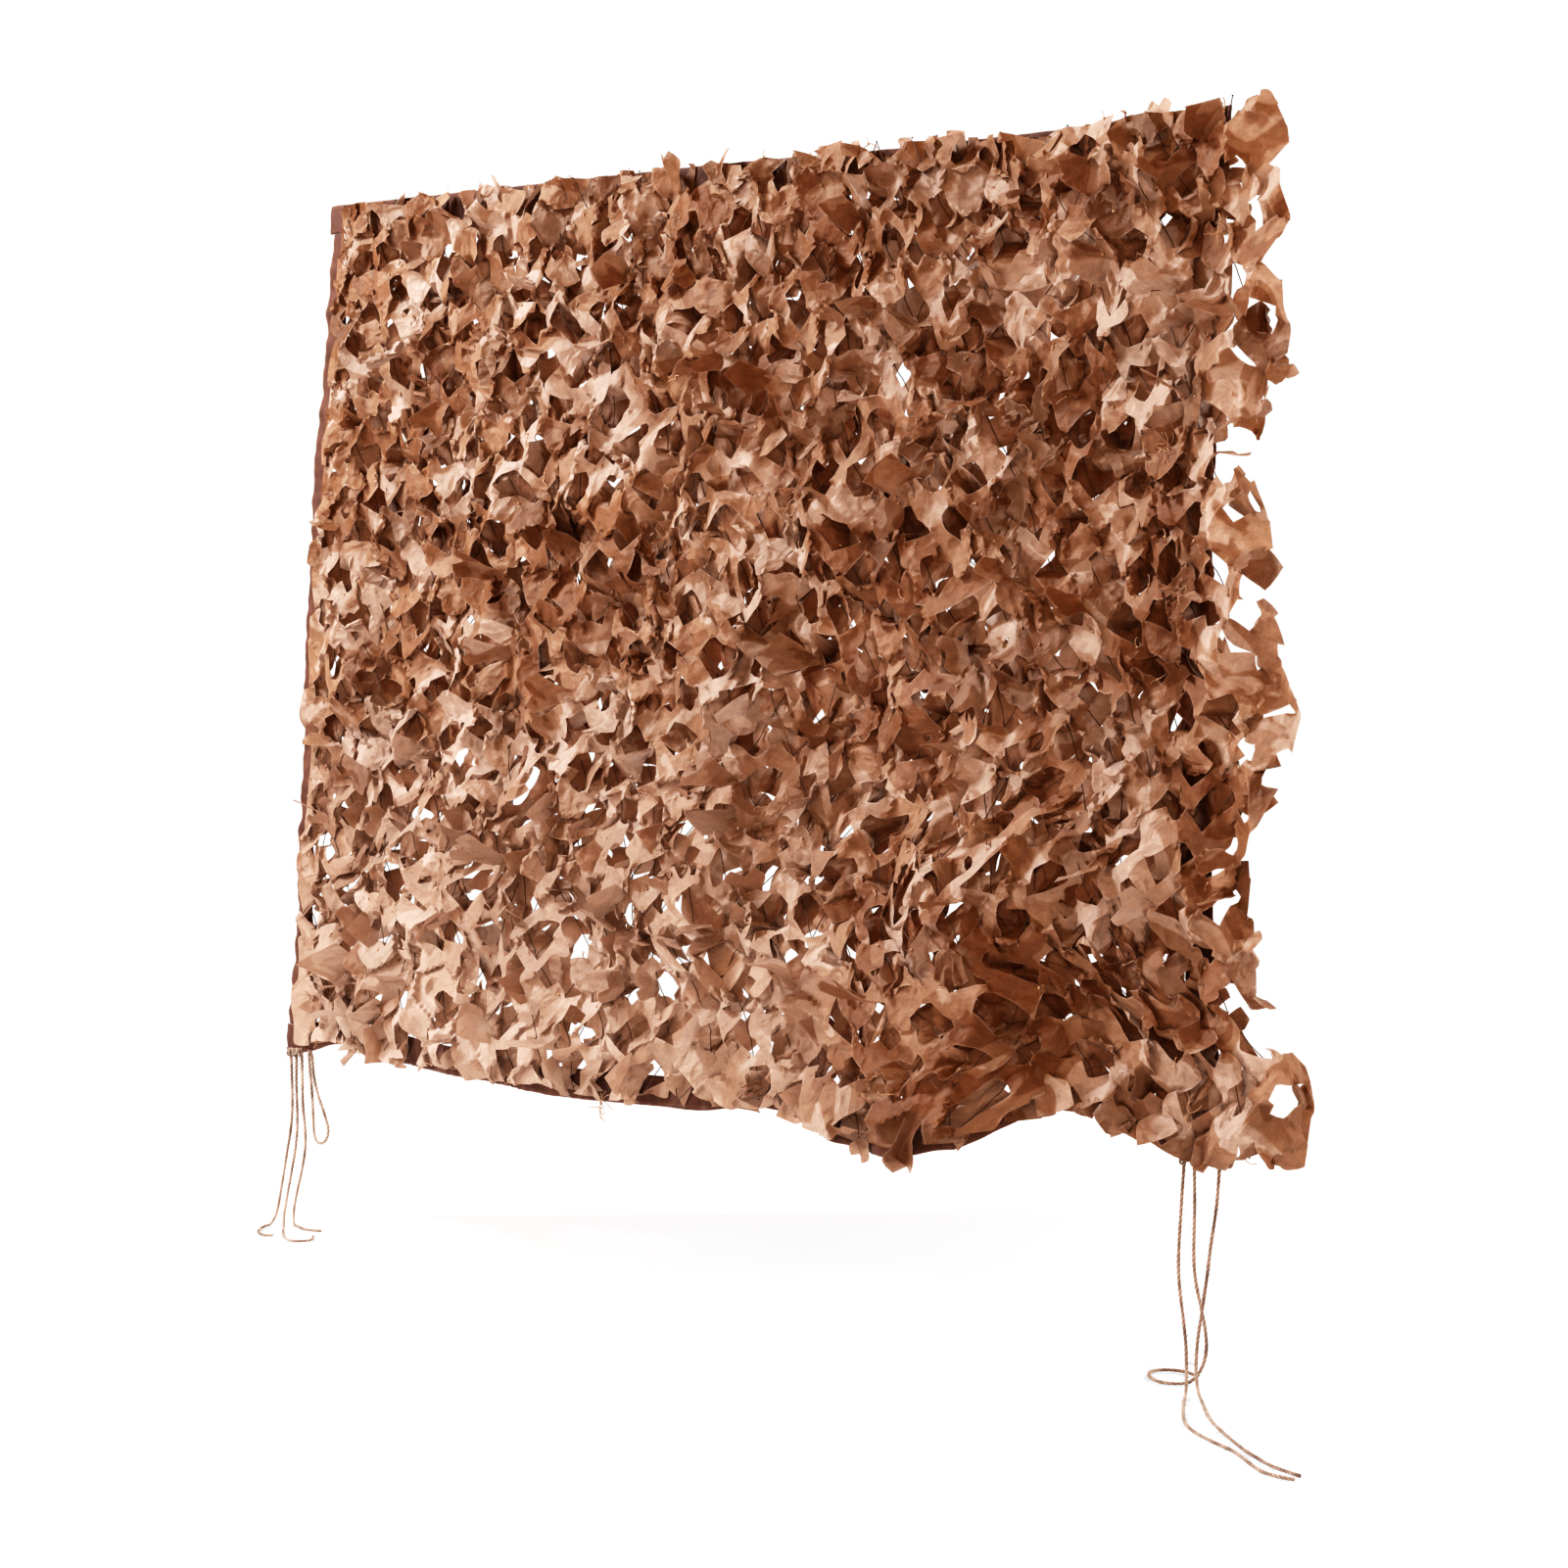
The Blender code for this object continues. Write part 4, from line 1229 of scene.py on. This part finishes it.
def string_tree(material):
    """Thin strings along a mesh of edges, wandering a little, with a knot at every crossing."""
    tree, given = geometry_tree("string_mesh", "Thickness", "Wander", "Step", "Knot Size", "Seed")
    sway = node(tree, "ShaderNodeTexNoise", {
        "W": given["Seed"], "Scale": 16.0, "Detail": 2.0,
    }, noise_dimensions="4D")
    level = node(tree, "ShaderNodeVectorMath", {
        0: sway.outputs["Color"], 1: (0.5, 0.5, 0.5),
    }, operation="SUBTRACT")
    drift = node(tree, "ShaderNodeVectorMath", {
        0: level.outputs[0], "Scale": given["Wander"],
    }, operation="SCALE")
    runs = node(tree, "GeometryNodeMeshToCurve", {"Mesh": given["Geometry"]})
    fine = node(tree, "GeometryNodeResampleCurve", {
        "Curve": runs.outputs[0], "Length": given["Step"],
    }, mode="LENGTH")
    crossings = node(tree, "GeometryNodeMeshToPoints", {"Mesh": given["Geometry"]})
    slack, moved = (
        node(tree, "GeometryNodeSetPosition", {"Geometry": made.outputs[0], "Offset": drift.outputs[0]})
        for made in (fine, crossings)
    )
    string = tube(tree, slack.outputs[0], sums(tree, "MULTIPLY", given["Thickness"], 0.5))
    size = random_vector(tree, (0.7, 0.6, 0.8), (1.2, 1.0, 1.6))
    turn = random_vector(tree, (0, 0, 0), (3, 3, 3))
    knots = copies(tree, moved.outputs[0], knot_lump(tree, given["Knot Size"]), turn, size)
    return end_tree(tree, material, string, knots)


def ends_tree(name, material):
    """Short bent ends of string, turned every way, with a small knot at the foot of each."""
    tree, given = geometry_tree(name, "Shortest", "Longest", "Thickness", "Knot Size", "Seed")
    spots = node(tree, "GeometryNodeMeshToPoints", {"Mesh": given["Geometry"]}).outputs[0]
    bow = arch(tree, 6, (0.55, 0.10, 0.25), (0.85, 0.0, -0.15))
    end = tube(tree, bow, sums(tree, "DIVIDE", given["Thickness"], given["Longest"]))
    turn = random_vector(tree, (0.0, 0.0, 0.0), (math.tau, math.tau, math.tau), given["Seed"])
    length = random_number(tree, given["Shortest"], given["Longest"], given["Seed"])
    ends = copies(tree, spots, end, turn, length)
    knots = copies(tree, spots, knot_lump(tree, given["Knot Size"]), turn, (1.2, 0.8, 0.9))
    return end_tree(tree, material, ends, knots)


def stitch_tree(material):
    """A running stitch along every line of edges."""
    tree, given = geometry_tree("stitches", "Pitch", "Stitch Length", "Thickness")
    runs = node(tree, "GeometryNodeMeshToCurve", {"Mesh": given["Geometry"]})
    spots = node(tree, "GeometryNodeCurveToPoints", {
        "Curve": runs.outputs[0], "Length": given["Pitch"],
    }, mode="LENGTH").outputs
    start, end = (
        node(tree, "ShaderNodeCombineXYZ", {"Z": sums(tree, "MULTIPLY", given["Stitch Length"], half)})
        for half in (-0.5, 0.5)
    )
    line = node(tree, "GeometryNodeCurvePrimitiveLine", {"Start": start.outputs[0], "End": end.outputs[0]})
    fine = node(tree, "GeometryNodeResampleCurve", {"Curve": line.outputs[0], "Count": 4})
    thread = tube(tree, fine.outputs[0], sums(tree, "MULTIPLY", given["Thickness"], 0.5))
    size = random_number(tree, 0.85, 1.1)
    return end_tree(tree, material, copies(tree, spots["Points"], thread, spots["Rotation"], size))


# ---------------------------------------------------------------- ties


def smooth_route(route, step):
    """Evenly spaced points on a smooth curve through the route's own points."""
    spots = [Vector(point) for point in route]
    spots = [2 * spots[0] - spots[1], *spots, 2 * spots[-1] - spots[-2]]
    fine = []
    for before, start, end, after in zip(spots, spots[1:], spots[2:], spots[3:]):
        for k in range(ROUTE_STEPS):
            t = k / ROUTE_STEPS
            fine.append(
                0.5 * (2 * start + (end - before) * t
                       + (2 * before - 5 * start + 4 * end - after) * t * t
                       + (3 * start - before - 3 * end + after) * t ** 3)
            )
    fine.append(spots[-2])
    total = sum((b - a).length for a, b in zip(fine, fine[1:]))
    wanted = total / round(total / step)
    points, gone = [fine[0]], 0.0
    for a, b in zip(fine, fine[1:]):
        length = (b - a).length
        while gone + length >= wanted * len(points) and len(points) < round(total / step):
            points.append(a.lerp(b, (wanted * len(points) - gone) / length))
        gone += length
    return points + [fine[-1]]


def carried_frames(points):
    """Two directions across a path that don't twist along it."""
    ahead = unit(np.gradient(points, axis=0))
    side = np.cross(ahead[0], (0.0, 0.0, 1.0))
    if np.linalg.norm(side) < 0.1:
        side = np.cross(ahead[0], (1.0, 0.0, 0.0))
    sides = [side / np.linalg.norm(side)]
    for way in ahead[1:]:
        side = sides[-1] - way * (sides[-1] @ way)
        sides.append(side / np.linalg.norm(side))
    sides = np.array(sides)
    return sides, np.cross(ahead, sides)


def rope_mesh(points, thick, turns_per_metre):
    """A rope of laid strands along the points: points, faces and how deep in a groove each point is."""
    points = np.array(points)
    side, other = carried_frames(points)
    gone = np.concatenate([[0], np.cumsum(np.linalg.norm(np.diff(points, axis=0), axis=1))])
    angle = math.tau * np.arange(RING_CORNERS) / RING_CORNERS
    lay = angle[None, :] - math.tau * turns_per_metre * gone[:, None]
    crest = np.abs(np.cos(STRANDS / 2 * lay)) ** STRAND_ROUND
    radius = thick / 2 * (ROPE_SHAPE[0] + ROPE_SHAPE[1] * crest)
    swell = sum((share * np.sin(gone * wave + start) for share, wave, start in ROPE_SWELLS), start=1)
    radius = radius * swell[:, None]
    round_it = np.cos(angle)[None, :, None] * side[:, None] + np.sin(angle)[None, :, None] * other[:, None]
    rings = points[:, None] + radius[:, :, None] * round_it
    count = len(points)
    k, c = np.mgrid[0:count - 1, 0:RING_CORNERS]
    after = (c + 1) % RING_CORNERS
    quads = np.stack([
        k * RING_CORNERS + c,
        k * RING_CORNERS + after,
        (k + 1) * RING_CORNERS + after,
        (k + 1) * RING_CORNERS + c,
    ], axis=-1).reshape(-1, 4).tolist()
    caps = [list(range(RING_CORNERS))[::-1], [(count - 1) * RING_CORNERS + c for c in range(RING_CORNERS)]]
    return rings.reshape(-1, 3), quads + caps, 1 - crest.reshape(-1)


def knot_path(place, size, turn):
    """The path of a small overhand knot."""
    t = np.linspace(0, math.tau, KNOT_POINTS, endpoint=False)
    x = np.sin(t) + 2 * np.sin(2 * t)
    y = np.cos(t) - 2 * np.cos(2 * t)
    z = -np.sin(3 * t)
    c, s = math.cos(turn), math.sin(turn)
    path = np.stack([x * c - z * s, x * s * KNOT_FLATTENED + z * c, y], axis=-1) * size / 3
    path = np.concatenate([path, path[:1]])
    return np.array(place) + path


# ---------------------------------------------------------------- bands


def band_rails():
    """For each band, the places of its outer and inner edge from one end to the other, and its length."""
    clear = BAND_WIDE + BAND_END_GAP
    top = np.linspace(*TOP_BAND_ENDS, TOP_PLACES)
    hem = np.linspace(*HEM_BAND_ENDS, HEM_PLACES)
    drop = np.linspace(clear, HEIGHT - clear, SIDE_PLACES)
    left = blend(LEFT_EDGE, drop, 1)
    right = np.full(len(drop), RIGHT_BAND_X)
    return {
        "band_top": ((top, np.full(len(top), BAND_WIDE)), (top, np.zeros(len(top)))),
        "band_bottom": ((hem, np.full(len(hem), HEIGHT)), (hem, np.full(len(hem), HEIGHT - BAND_WIDE))),
        "band_left": ((left, drop), (left + BAND_WIDE, drop)),
        "band_right": ((right, drop), (right + BAND_WIDE, drop)),
    }


def crumple(along, across, draw):
    """Small soft creases over a band."""
    height = np.zeros(np.broadcast(along, across).shape)
    for _ in range(CREASES):
        wave = math.tau / draw.uniform(*CREASE_WAVES)
        way = draw.uniform(-CREASE_SWERVE, CREASE_SWERVE)
        gone = along * math.cos(way) + across * math.sin(way)
        height = height + np.sin(wave * gone + draw.uniform(0, math.tau))
    return CREASE_DEPTH * height / math.sqrt(CREASES / 2)


def band_surface(rail, draw):
    """A band's middle surface: a grid of x, drop and out, with the way along it and across it."""
    (x0, d0), (x1, d1) = rail
    part = np.linspace(0, 1, BAND_ROWS + 1)[None, :]
    x = x0[:, None] * (1 - part) + x1[:, None] * part
    drop = d0[:, None] * (1 - part) + d1[:, None] * part
    step = np.hypot(np.diff(x0), np.diff(d0))
    along = np.concatenate([[0], np.cumsum(step)])[:, None]
    across = part * BAND_WIDE
    out = -BAND_THICK / 2 - BAND_GAP + crumple(along, across, draw)
    return x, drop, out, np.broadcast_to(along, x.shape), np.broadcast_to(across, x.shape)


def band_mesh(rail, draw):
    """A band as a thin closed strip with folded hems: points, faces, flat places and nearness to its rim."""
    x, drop, out, along, across = band_surface(rail, draw)
    inset = np.minimum(across, BAND_WIDE - across)
    single, folded, rim_thick = TAPE_THICKS
    thick = single + (folded - single) * np.clip((HEM_FOLD - inset) / 0.001, 0, 1)
    thick = np.where(inset < 1e-6, rim_thick, thick)
    front = off_cloth(x, drop, out + thick / 2).reshape(-1, 3)
    back = off_cloth(x, drop, out - thick / 2).reshape(-1, 3)
    rows, columns = x.shape
    k, c = np.mgrid[0:rows - 1, 0:columns - 1]
    corner = k * columns + c
    quads = np.stack([corner, corner + 1, corner + columns + 1, corner + columns], axis=-1).reshape(-1, 4)
    count = rows * columns
    loop = np.concatenate([
        np.arange(columns),
        np.arange(1, rows) * columns + columns - 1,
        (rows - 1) * columns + np.arange(columns - 2, -1, -1),
        np.arange(rows - 2, 0, -1) * columns,
    ])
    after = np.roll(loop, -1)
    walls = np.stack([loop, loop + count, after + count, after], axis=-1)
    faces = np.concatenate([quads, quads[:, ::-1] + count, walls])
    flat = np.stack([across, along, np.zeros(x.shape)], axis=-1).reshape(-1, 3)
    rim = np.clip(1 - inset / RUBBED_WIDE, 0, 1).reshape(-1)
    return np.concatenate([front, back]), faces, np.concatenate([flat, flat]), np.concatenate([rim, rim])


def stitch_lines(rail, draw):
    """Points and edges of the seams of a band, on both of its faces."""
    x, drop, out, *_ = band_surface(rail, draw)
    points, edges = [], []
    for face in (SEAM_OUT, -SEAM_OUT):
        for part in (SEAM_INSET / BAND_WIDE, 1 - SEAM_INSET / BAND_WIDE):
            at = part * BAND_ROWS
            k = min(int(at), BAND_ROWS - 1)
            rest = at - k
            line = [grid[:, k] * (1 - rest) + grid[:, k + 1] * rest for grid in (x, drop, out)]
            first = len(points)
            points += off_cloth(line[0], line[1], line[2] + face).tolist()
            edges += [(first + j, first + j + 1) for j in range(len(x) - 1)]
    return points, edges


# ---------------------------------------------------------------- what a user may set


def number(name, description, default, **more):
    """A number property that isn't below 0."""
    return bpy.props.FloatProperty(name=name, description=description, default=default, min=0.0, **more)


def distance(name, description, default):
    """A length property."""
    return number(name, description, default, unit="LENGTH", precision=4)


def shade(name, description, default):
    """A colour property."""
    return bpy.props.FloatVectorProperty(
        name=name, description=description, default=default, size=3, min=0.0, max=1.0, subtype="COLOR"
    )


class NettingClothSettings(bpy.types.PropertyGroup):
    """Leaf cloth."""

    rounds: bpy.props.IntProperty(
        name="Settling rounds", description="How long the cloth settles once it is hung", default=90, min=6
    )
    dark: shade("Dark print", "Colour of the darkest print patches", (0.235, 0.126, 0.072))
    middle: shade("Middle print", "Colour of most of the cloth", (0.335, 0.222, 0.160))
    light: shade("Light print", "Colour of the lightest print patches", (0.515, 0.426, 0.392))
    # Pale cut edges, part wear and part painted rim highlight; also the painted highlight low on the left
    wear_and_highlight: shade("Worn edges", "Colour of the frayed cut edges", (0.590, 0.500, 0.460))
    lacing: shade("Lacing string", "Colour of the string that laces the cloth on", (0.60, 0.46, 0.36))


class NettingStringSettings(bpy.types.PropertyGroup):
    """String mesh."""

    thickness: distance("Thickness", "Thickness of the strings", 0.0016)
    wander: distance("Wander", "How far a string strays from its straight run", 0.022)
    knot: distance("Knot size", "Size of the knot at each crossing", 0.0034)
    colour: shade("Colour", "Colour of the strings", (0.045, 0.026, 0.018))


class NettingBandSettings(bpy.types.PropertyGroup):
    """Border bands."""

    pitch: distance("Stitch pitch", "From one stitch to the next", 0.0070)
    stitch: distance("Stitch length", "Length of one stitch", 0.0042)
    thread: distance("Thread thickness", "Thickness of the sewing thread", 0.0007)
    colour: shade("Band colour", "Colour of the tape", (0.120, 0.068, 0.058))
    thread_colour: shade("Thread colour", "Colour of the thread and rubbed edges", (0.23, 0.13, 0.09))


class NettingTieSettings(bpy.types.PropertyGroup):
    """Jute ties."""

    turns: number("Turns per metre", "How tightly the strands are laid", 42.0)
    fibre: distance("Fibre length", "Longest loose fibre", 0.011)
    density: number("Fibres per square metre", "How many loose fibres stand up", 26000.0)
    dark: shade("Dark jute", "Colour of the darker stretches", (0.215, 0.172, 0.156))
    light: shade("Light jute", "Colour of the lighter stretches", (0.550, 0.492, 0.468))


class NettingStageSettings(bpy.types.PropertyGroup):
    """Floor, lights and camera."""

    key_power: number("Key power", "Power of the main light", 214.0, unit="POWER")
    key_size: distance("Key size", "Width of the main light", 0.75)
    floor_reach: distance("Floor reach", "How far the floor goes before it fades", 2.0)
    surround: number("Surround light", "Strength of the light from all round", 0.740)
    floor: shade("Floor colour", "Colour of the floor", (0.90, 0.90, 0.90))


# ---------------------------------------------------------------- operators


def area_light(name, place, target, size, power, colour=(1.0, 1.0, 1.0)):
    """A soft square light."""
    light = bpy.data.lights.new(name, "AREA")
    light.size = size
    light.energy = power
    light.color = colour
    made = linked(name, light)
    made.location = place
    made.rotation_euler = (Vector(target) - Vector(place)).to_track_quat("-Z", "Y").to_euler()


class NETTING_OT_stage(bpy.types.Operator):
    """Set up the floor, the studio light and the camera"""

    bl_idname = "netting.stage"
    bl_label = "Stage"

    def execute(self, context):
        settings = context.scene.netting_stage
        self.floor(settings)
        self.surround(settings)
        area_light("key_light", KEY_PLACE, NET_MIDDLE, settings.key_size, settings.key_power)
        for light in LIGHTS:
            area_light(*light)
        camera = linked("camera", bpy.data.cameras.new("camera"))
        camera.data.lens = CAMERA_LENS
        camera.data.clip_end = CAMERA_REACH
        camera.location = CAMERA_PLACE
        camera.rotation_euler = (math.radians(90 - CAMERA_TILT), 0.0, math.radians(CAMERA_TURN))
        context.scene.camera = camera
        self.develop(context.scene.view_settings)
        return {"FINISHED"}

    def develop(self, view):
        """Soft contrast: deeper darks and gentler lights."""
        view.view_transform = "Standard"
        view.use_curve_mapping = True
        mapping = view.curve_mapping
        mapping.extend = "HORIZONTAL"
        curve = mapping.curves[3]
        curve.points[0].location = DEVELOPING[0]
        curve.points[-1].location = DEVELOPING[-1]
        for place in DEVELOPING[1:-1]:
            curve.points.new(*place)
        mapping.update()

    def floor(self, settings):
        """A pale floor that fades out at its rim."""
        reach = settings.floor_reach * FLOOR_RIM
        angles = np.linspace(0, math.tau, FLOOR_CORNERS, endpoint=False)
        points = [(reach * math.cos(a), reach * math.sin(a), FLOOR_Z - FLOOR_UNDER) for a in angles]
        mesh = bpy.data.meshes.new("floor")
        mesh.from_pydata(points, [], [list(range(len(points)))])
        material, tree = blank_material("pale_floor")
        place = node(tree, "ShaderNodeTexCoord").outputs["Object"]
        pale = tuple(settings.floor)
        dimmed = tuple(FLOOR_DIM * value for value in pale)
        shaded = ramp(tree, noise(tree, place, 3.0, 4.0), ((0.3, dimmed), (0.7, pale)))
        surface = node(tree, "ShaderNodeBsdfPrincipled", {"Base Color": shaded, "Roughness": 0.8})
        clear = node(tree, "ShaderNodeBsdfTransparent")
        away = node(tree, "ShaderNodeVectorMath", {0: place}, operation="LENGTH").outputs["Value"]
        fade = node(tree, "ShaderNodeMapRange", {
            "Value": away,
            "From Min": settings.floor_reach * FLOOR_FADE[0],
            "From Max": reach * FLOOR_FADE[1],
        }, interpolation_type="SMOOTHSTEP").outputs[0]
        seen = node(tree, "ShaderNodeLightPath").outputs["Is Camera Ray"]
        glow = node(tree, "ShaderNodeEmission", {
            "Color": FLOOR_GLOW_COLOUR, "Strength": sums(tree, "MULTIPLY", seen, FLOOR_GLOW),
        })
        lit = node(tree, "ShaderNodeAddShader", {0: surface.outputs[0], 1: glow.outputs[0]})
        shown(tree, node(tree, "ShaderNodeMixShader", {0: fade, 1: lit.outputs[0], 2: clear.outputs[0]}))
        mesh.materials.append(material)
        made = linked("floor", mesh)

    def surround(self, settings):
        """A white surround that lights the net only softly."""
        world = bpy.data.worlds.new("studio")
        world.use_nodes = True
        tree = world.node_tree
        tree.nodes.clear()
        lit = node(tree, "ShaderNodeBackground", {"Color": SURROUND_COLOUR, "Strength": settings.surround})
        seen = node(tree, "ShaderNodeBackground", {"Color": (1, 1, 1, 1), "Strength": 1.0})
        ray = node(tree, "ShaderNodeLightPath").outputs["Is Camera Ray"]
        both = node(tree, "ShaderNodeMixShader", {0: ray, 1: lit.outputs[0], 2: seen.outputs[0]})
        shown(tree, both, "ShaderNodeOutputWorld")
        bpy.context.scene.world = world


class NETTING_OT_ties(bpy.types.Operator):
    """Lay the seven jute ties, their knots at the hem and their loose fibres"""

    bl_idname = "netting.ties"
    bl_label = "Jute ties"

    def execute(self, context):
        settings = context.scene.netting_ties
        jute = fibre_material("jute", settings.dark, settings.light, 40.0, 0.85)
        ropes = []
        for name, route in ROUTES.items():
            spots = smooth_route(route, CORD_STEP)
            points, faces, groove = rope_mesh(smooth_route(spots, RING_STEP), CORD_THICK, settings.turns)
            tie = piece(name + "_rope", points, faces, jute, "jute", numbers={"groove": groove})
            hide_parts(name)
            ropes.append((points, faces))
        sizes = {
            "Density": settings.density,
            "Fibre Length": settings.fibre,
            "Fibre Thickness": FIBRE_THICK,
            "Seed": 3,
        }
        points, faces = merged(ropes)
        fibres = grown("tie_fibres", fibre_tree(jute), sizes, points, faces=faces)
        for point in fibres.data.vertices:
            point.co.z = max(point.co.z, FLOOR_Z)
        self.knots(settings, jute)
        return {"FINISHED"}

    def knots(self, settings, jute):
        """An overhand knot where each tie leaves the hem."""
        loops, grooves = [], []
        for k, route in enumerate(ROUTES.values()):
            path = knot_path(np.array(route[0]) + KNOT_OFF_HEM, KNOT_SIZE, KNOT_TURN * k)
            points, faces, groove = rope_mesh(path, KNOT_CORD, settings.turns)
            loops.append((points, faces))
            grooves += groove.tolist()
        piece("tie_knots", *merged(loops), jute, "jute", numbers={"groove": grooves})


class NETTING_OT_leaf_cloth(bpy.types.Operator):
    """Cut, hang and settle the leaf cloth in its two plies"""

    bl_idname = "netting.leaf_cloth"
    bl_label = "Leaf cloth"

    def execute(self, context):
        settings = context.scene.netting_cloth
        rounds = settings.rounds
        for name, ply in (("leaf_cloth_front", FRONT_PLY), ("leaf_cloth_back", BACK_PLY)):
            material = leaf_cloth_material(name + "_print", settings, ply["painted_shade"], ply["light_through"])
            points, faces, flat, tint, on_seam, laced = hung_ply(ply, rounds)
            places = np.column_stack([flat, np.full(len(flat), PRINT_SHIFT * ply["seed"])])
            # The openness is also stored to paint a highlight low on the left, where the cloth hangs open
            cloth = piece(
                name, points, faces, material, "leaf_cloth",
                {"flat": places},
                {"tint": tint, "cut_edge": on_seam, "painted_highlight_low_left": openness(flat[:, 0], flat[:, 1])},
            )
            cloth.data.set_sharp_from_angle(angle=math.radians(SHARP_CREASE))
            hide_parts("leaf_cloth")
            if ply is FRONT_PLY:
                self.lacing(settings, laced)
        return {"FINISHED"}

    def lacing(self, settings, laced):
        """Short ends of pale string at the laced places, and the frayed tufts."""
        draw = np.random.default_rng(LACING_SEED)
        pale = tuple(settings.lacing)
        darker = tuple(LACING_DARKER * value for value in pale)
        string = fibre_material("lacing_string", darker, pale, 30.0, 0.8)
        tied = laced[draw.random(len(laced)) < LACED_SHARE] + STRING_OFF_CLOTH
        ends = np.repeat(tied, 2, axis=0)
        sizes = {"Shortest": 0.010, "Longest": 0.022, "Thickness": 0.0008, "Knot Size": 0.0040, "Seed": 2}
        grown("lacing_ends", ends_tree("lacing_ends", string), sizes, ends)
        tufts = np.array([
            laced[np.hypot(laced[:, 0] - x, laced[:, 2] - z).argmin()] for x, z in TUFTS
        ])
        fibres = np.repeat(tufts, TUFT_FIBRES, axis=0)
        fibres = fibres + draw.normal(0, TUFT_SPREAD, fibres.shape) + TUFT_OFF_CLOTH
        sizes = {"Shortest": 0.014, "Longest": 0.034, "Thickness": 0.0007, "Knot Size": 0.0, "Seed": 6}
        grown("lacing_tufts", ends_tree("lacing_tufts", string), sizes, fibres)


class NETTING_OT_string_mesh(bpy.types.Operator):
    """Lace the string mesh behind the leaf cloth"""

    bl_idname = "netting.string_mesh"
    bl_label = "String mesh"

    def execute(self, context):
        settings = context.scene.netting_strings
        ties = tie_points()
        ties = ties[ties[:, 0] < FLAT_WIDE - STRINGS_SHORT * CELL_WIDE]
        draw = np.random.default_rng(STRINGS_SEED)
        astray = draw.normal(0, STRINGS_ASTRAY, (len(ties), 2))
        places = hung(ties[:, :2] * STRINGS_FLAT_SHARE + astray, draw.uniform(*STRINGS_OUT, len(ties)))
        index = {(int(row), int(column)): k for k, (_, _, row, column) in enumerate(ties)}
        edges = []
        for (row, column), k in index.items():
            for below in ((row + 1, column), (row + 1, column - 1 if row % 2 == 0 else column + 1)):
                if below in index:
                    edges.append((k, index[below]))
        dull = tuple(settings.colour)
        lighter = tuple(min(1.0, STRING_LIGHTER * value) for value in dull)
        material = fibre_material("net_string", dull, lighter, 9.0, 0.6)
        sizes = {
            "Thickness": settings.thickness,
            "Wander": settings.wander,
            "Step": STRING_STEP,
            "Knot Size": settings.knot,
            "Seed": 4,
        }
        grown("string_mesh", string_tree(material), sizes, kept_off_bands(places), edges)
        return {"FINISHED"}


class NETTING_OT_bands(bpy.types.Operator):
    """Sew the four border bands"""

    bl_idname = "netting.bands"
    bl_label = "Border bands"

    def execute(self, context):
        settings = context.scene.netting_bands
        thread_colour = tuple(settings.thread_colour)
        twill = band_cloth_material(tuple(settings.colour), thread_colour)
        darker = tuple(THREAD_DARKER * value for value in thread_colour)
        thread = fibre_material("sewing_thread", darker, thread_colour, 40.0, 0.55)
        tree = stitch_tree(thread)
        sizes = {"Pitch": settings.pitch, "Stitch Length": settings.stitch, "Thickness": settings.thread}
        for seed, (name, rail) in enumerate(band_rails().items()):
            points, faces, flat, rim = band_mesh(rail, np.random.default_rng(seed))
            tape = piece(name + "_tape", points, faces, twill, "band_cloth", {"flat": flat}, {"rim": rim})
            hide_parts(name)
            points, edges = stitch_lines(rail, np.random.default_rng(seed))
            grown(name + "_stitches", tree, sizes, points, edges)
        return {"FINISHED"}


class NETTING_PT_panel(bpy.types.Panel):
    """The netting's pieces and their settings"""

    bl_label = "Camouflage netting"
    bl_idname = "NETTING_PT_panel"
    bl_space_type = "VIEW_3D"
    bl_region_type = "UI"
    bl_category = "Netting"

    def draw(self, context):
        for operator, settings, names in PIECES:
            box = self.layout.box()
            box.operator(operator.bl_idname)
            for name in names:
                box.prop(getattr(context.scene, settings), name)


PIECES = (
    (NETTING_OT_stage, "netting_stage", ("key_power", "key_size", "floor_reach", "surround", "floor")),
    (NETTING_OT_ties, "netting_ties", ("turns", "fibre", "density", "dark", "light")),
    (NETTING_OT_leaf_cloth, "netting_cloth", ("rounds", "dark", "middle", "light", "wear_and_highlight", "lacing")),
    (NETTING_OT_string_mesh, "netting_strings", ("thickness", "wander", "knot", "colour")),
    (NETTING_OT_bands, "netting_bands", ("pitch", "stitch", "thread", "colour", "thread_colour")),
)
SETTINGS = {
    "netting_stage": NettingStageSettings,
    "netting_ties": NettingTieSettings,
    "netting_cloth": NettingClothSettings,
    "netting_strings": NettingStringSettings,
    "netting_bands": NettingBandSettings,
}
CLASSES = (*SETTINGS.values(), *(operator for operator, _, _ in PIECES), NETTING_PT_panel)


def register():
    for kind in CLASSES:
        bpy.utils.register_class(kind)
    for name, kind in SETTINGS.items():
        setattr(bpy.types.Scene, name, bpy.props.PointerProperty(type=kind))


def unregister():
    for name in SETTINGS:
        delattr(bpy.types.Scene, name)
    for kind in reversed(CLASSES):
        bpy.utils.unregister_class(kind)


def main():
    register()
    bpy.ops.netting.stage()
    bpy.ops.netting.ties()
    bpy.ops.netting.leaf_cloth()
    bpy.ops.netting.string_mesh()
    bpy.ops.netting.bands()
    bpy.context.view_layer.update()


if __name__ == "__main__":
    main()
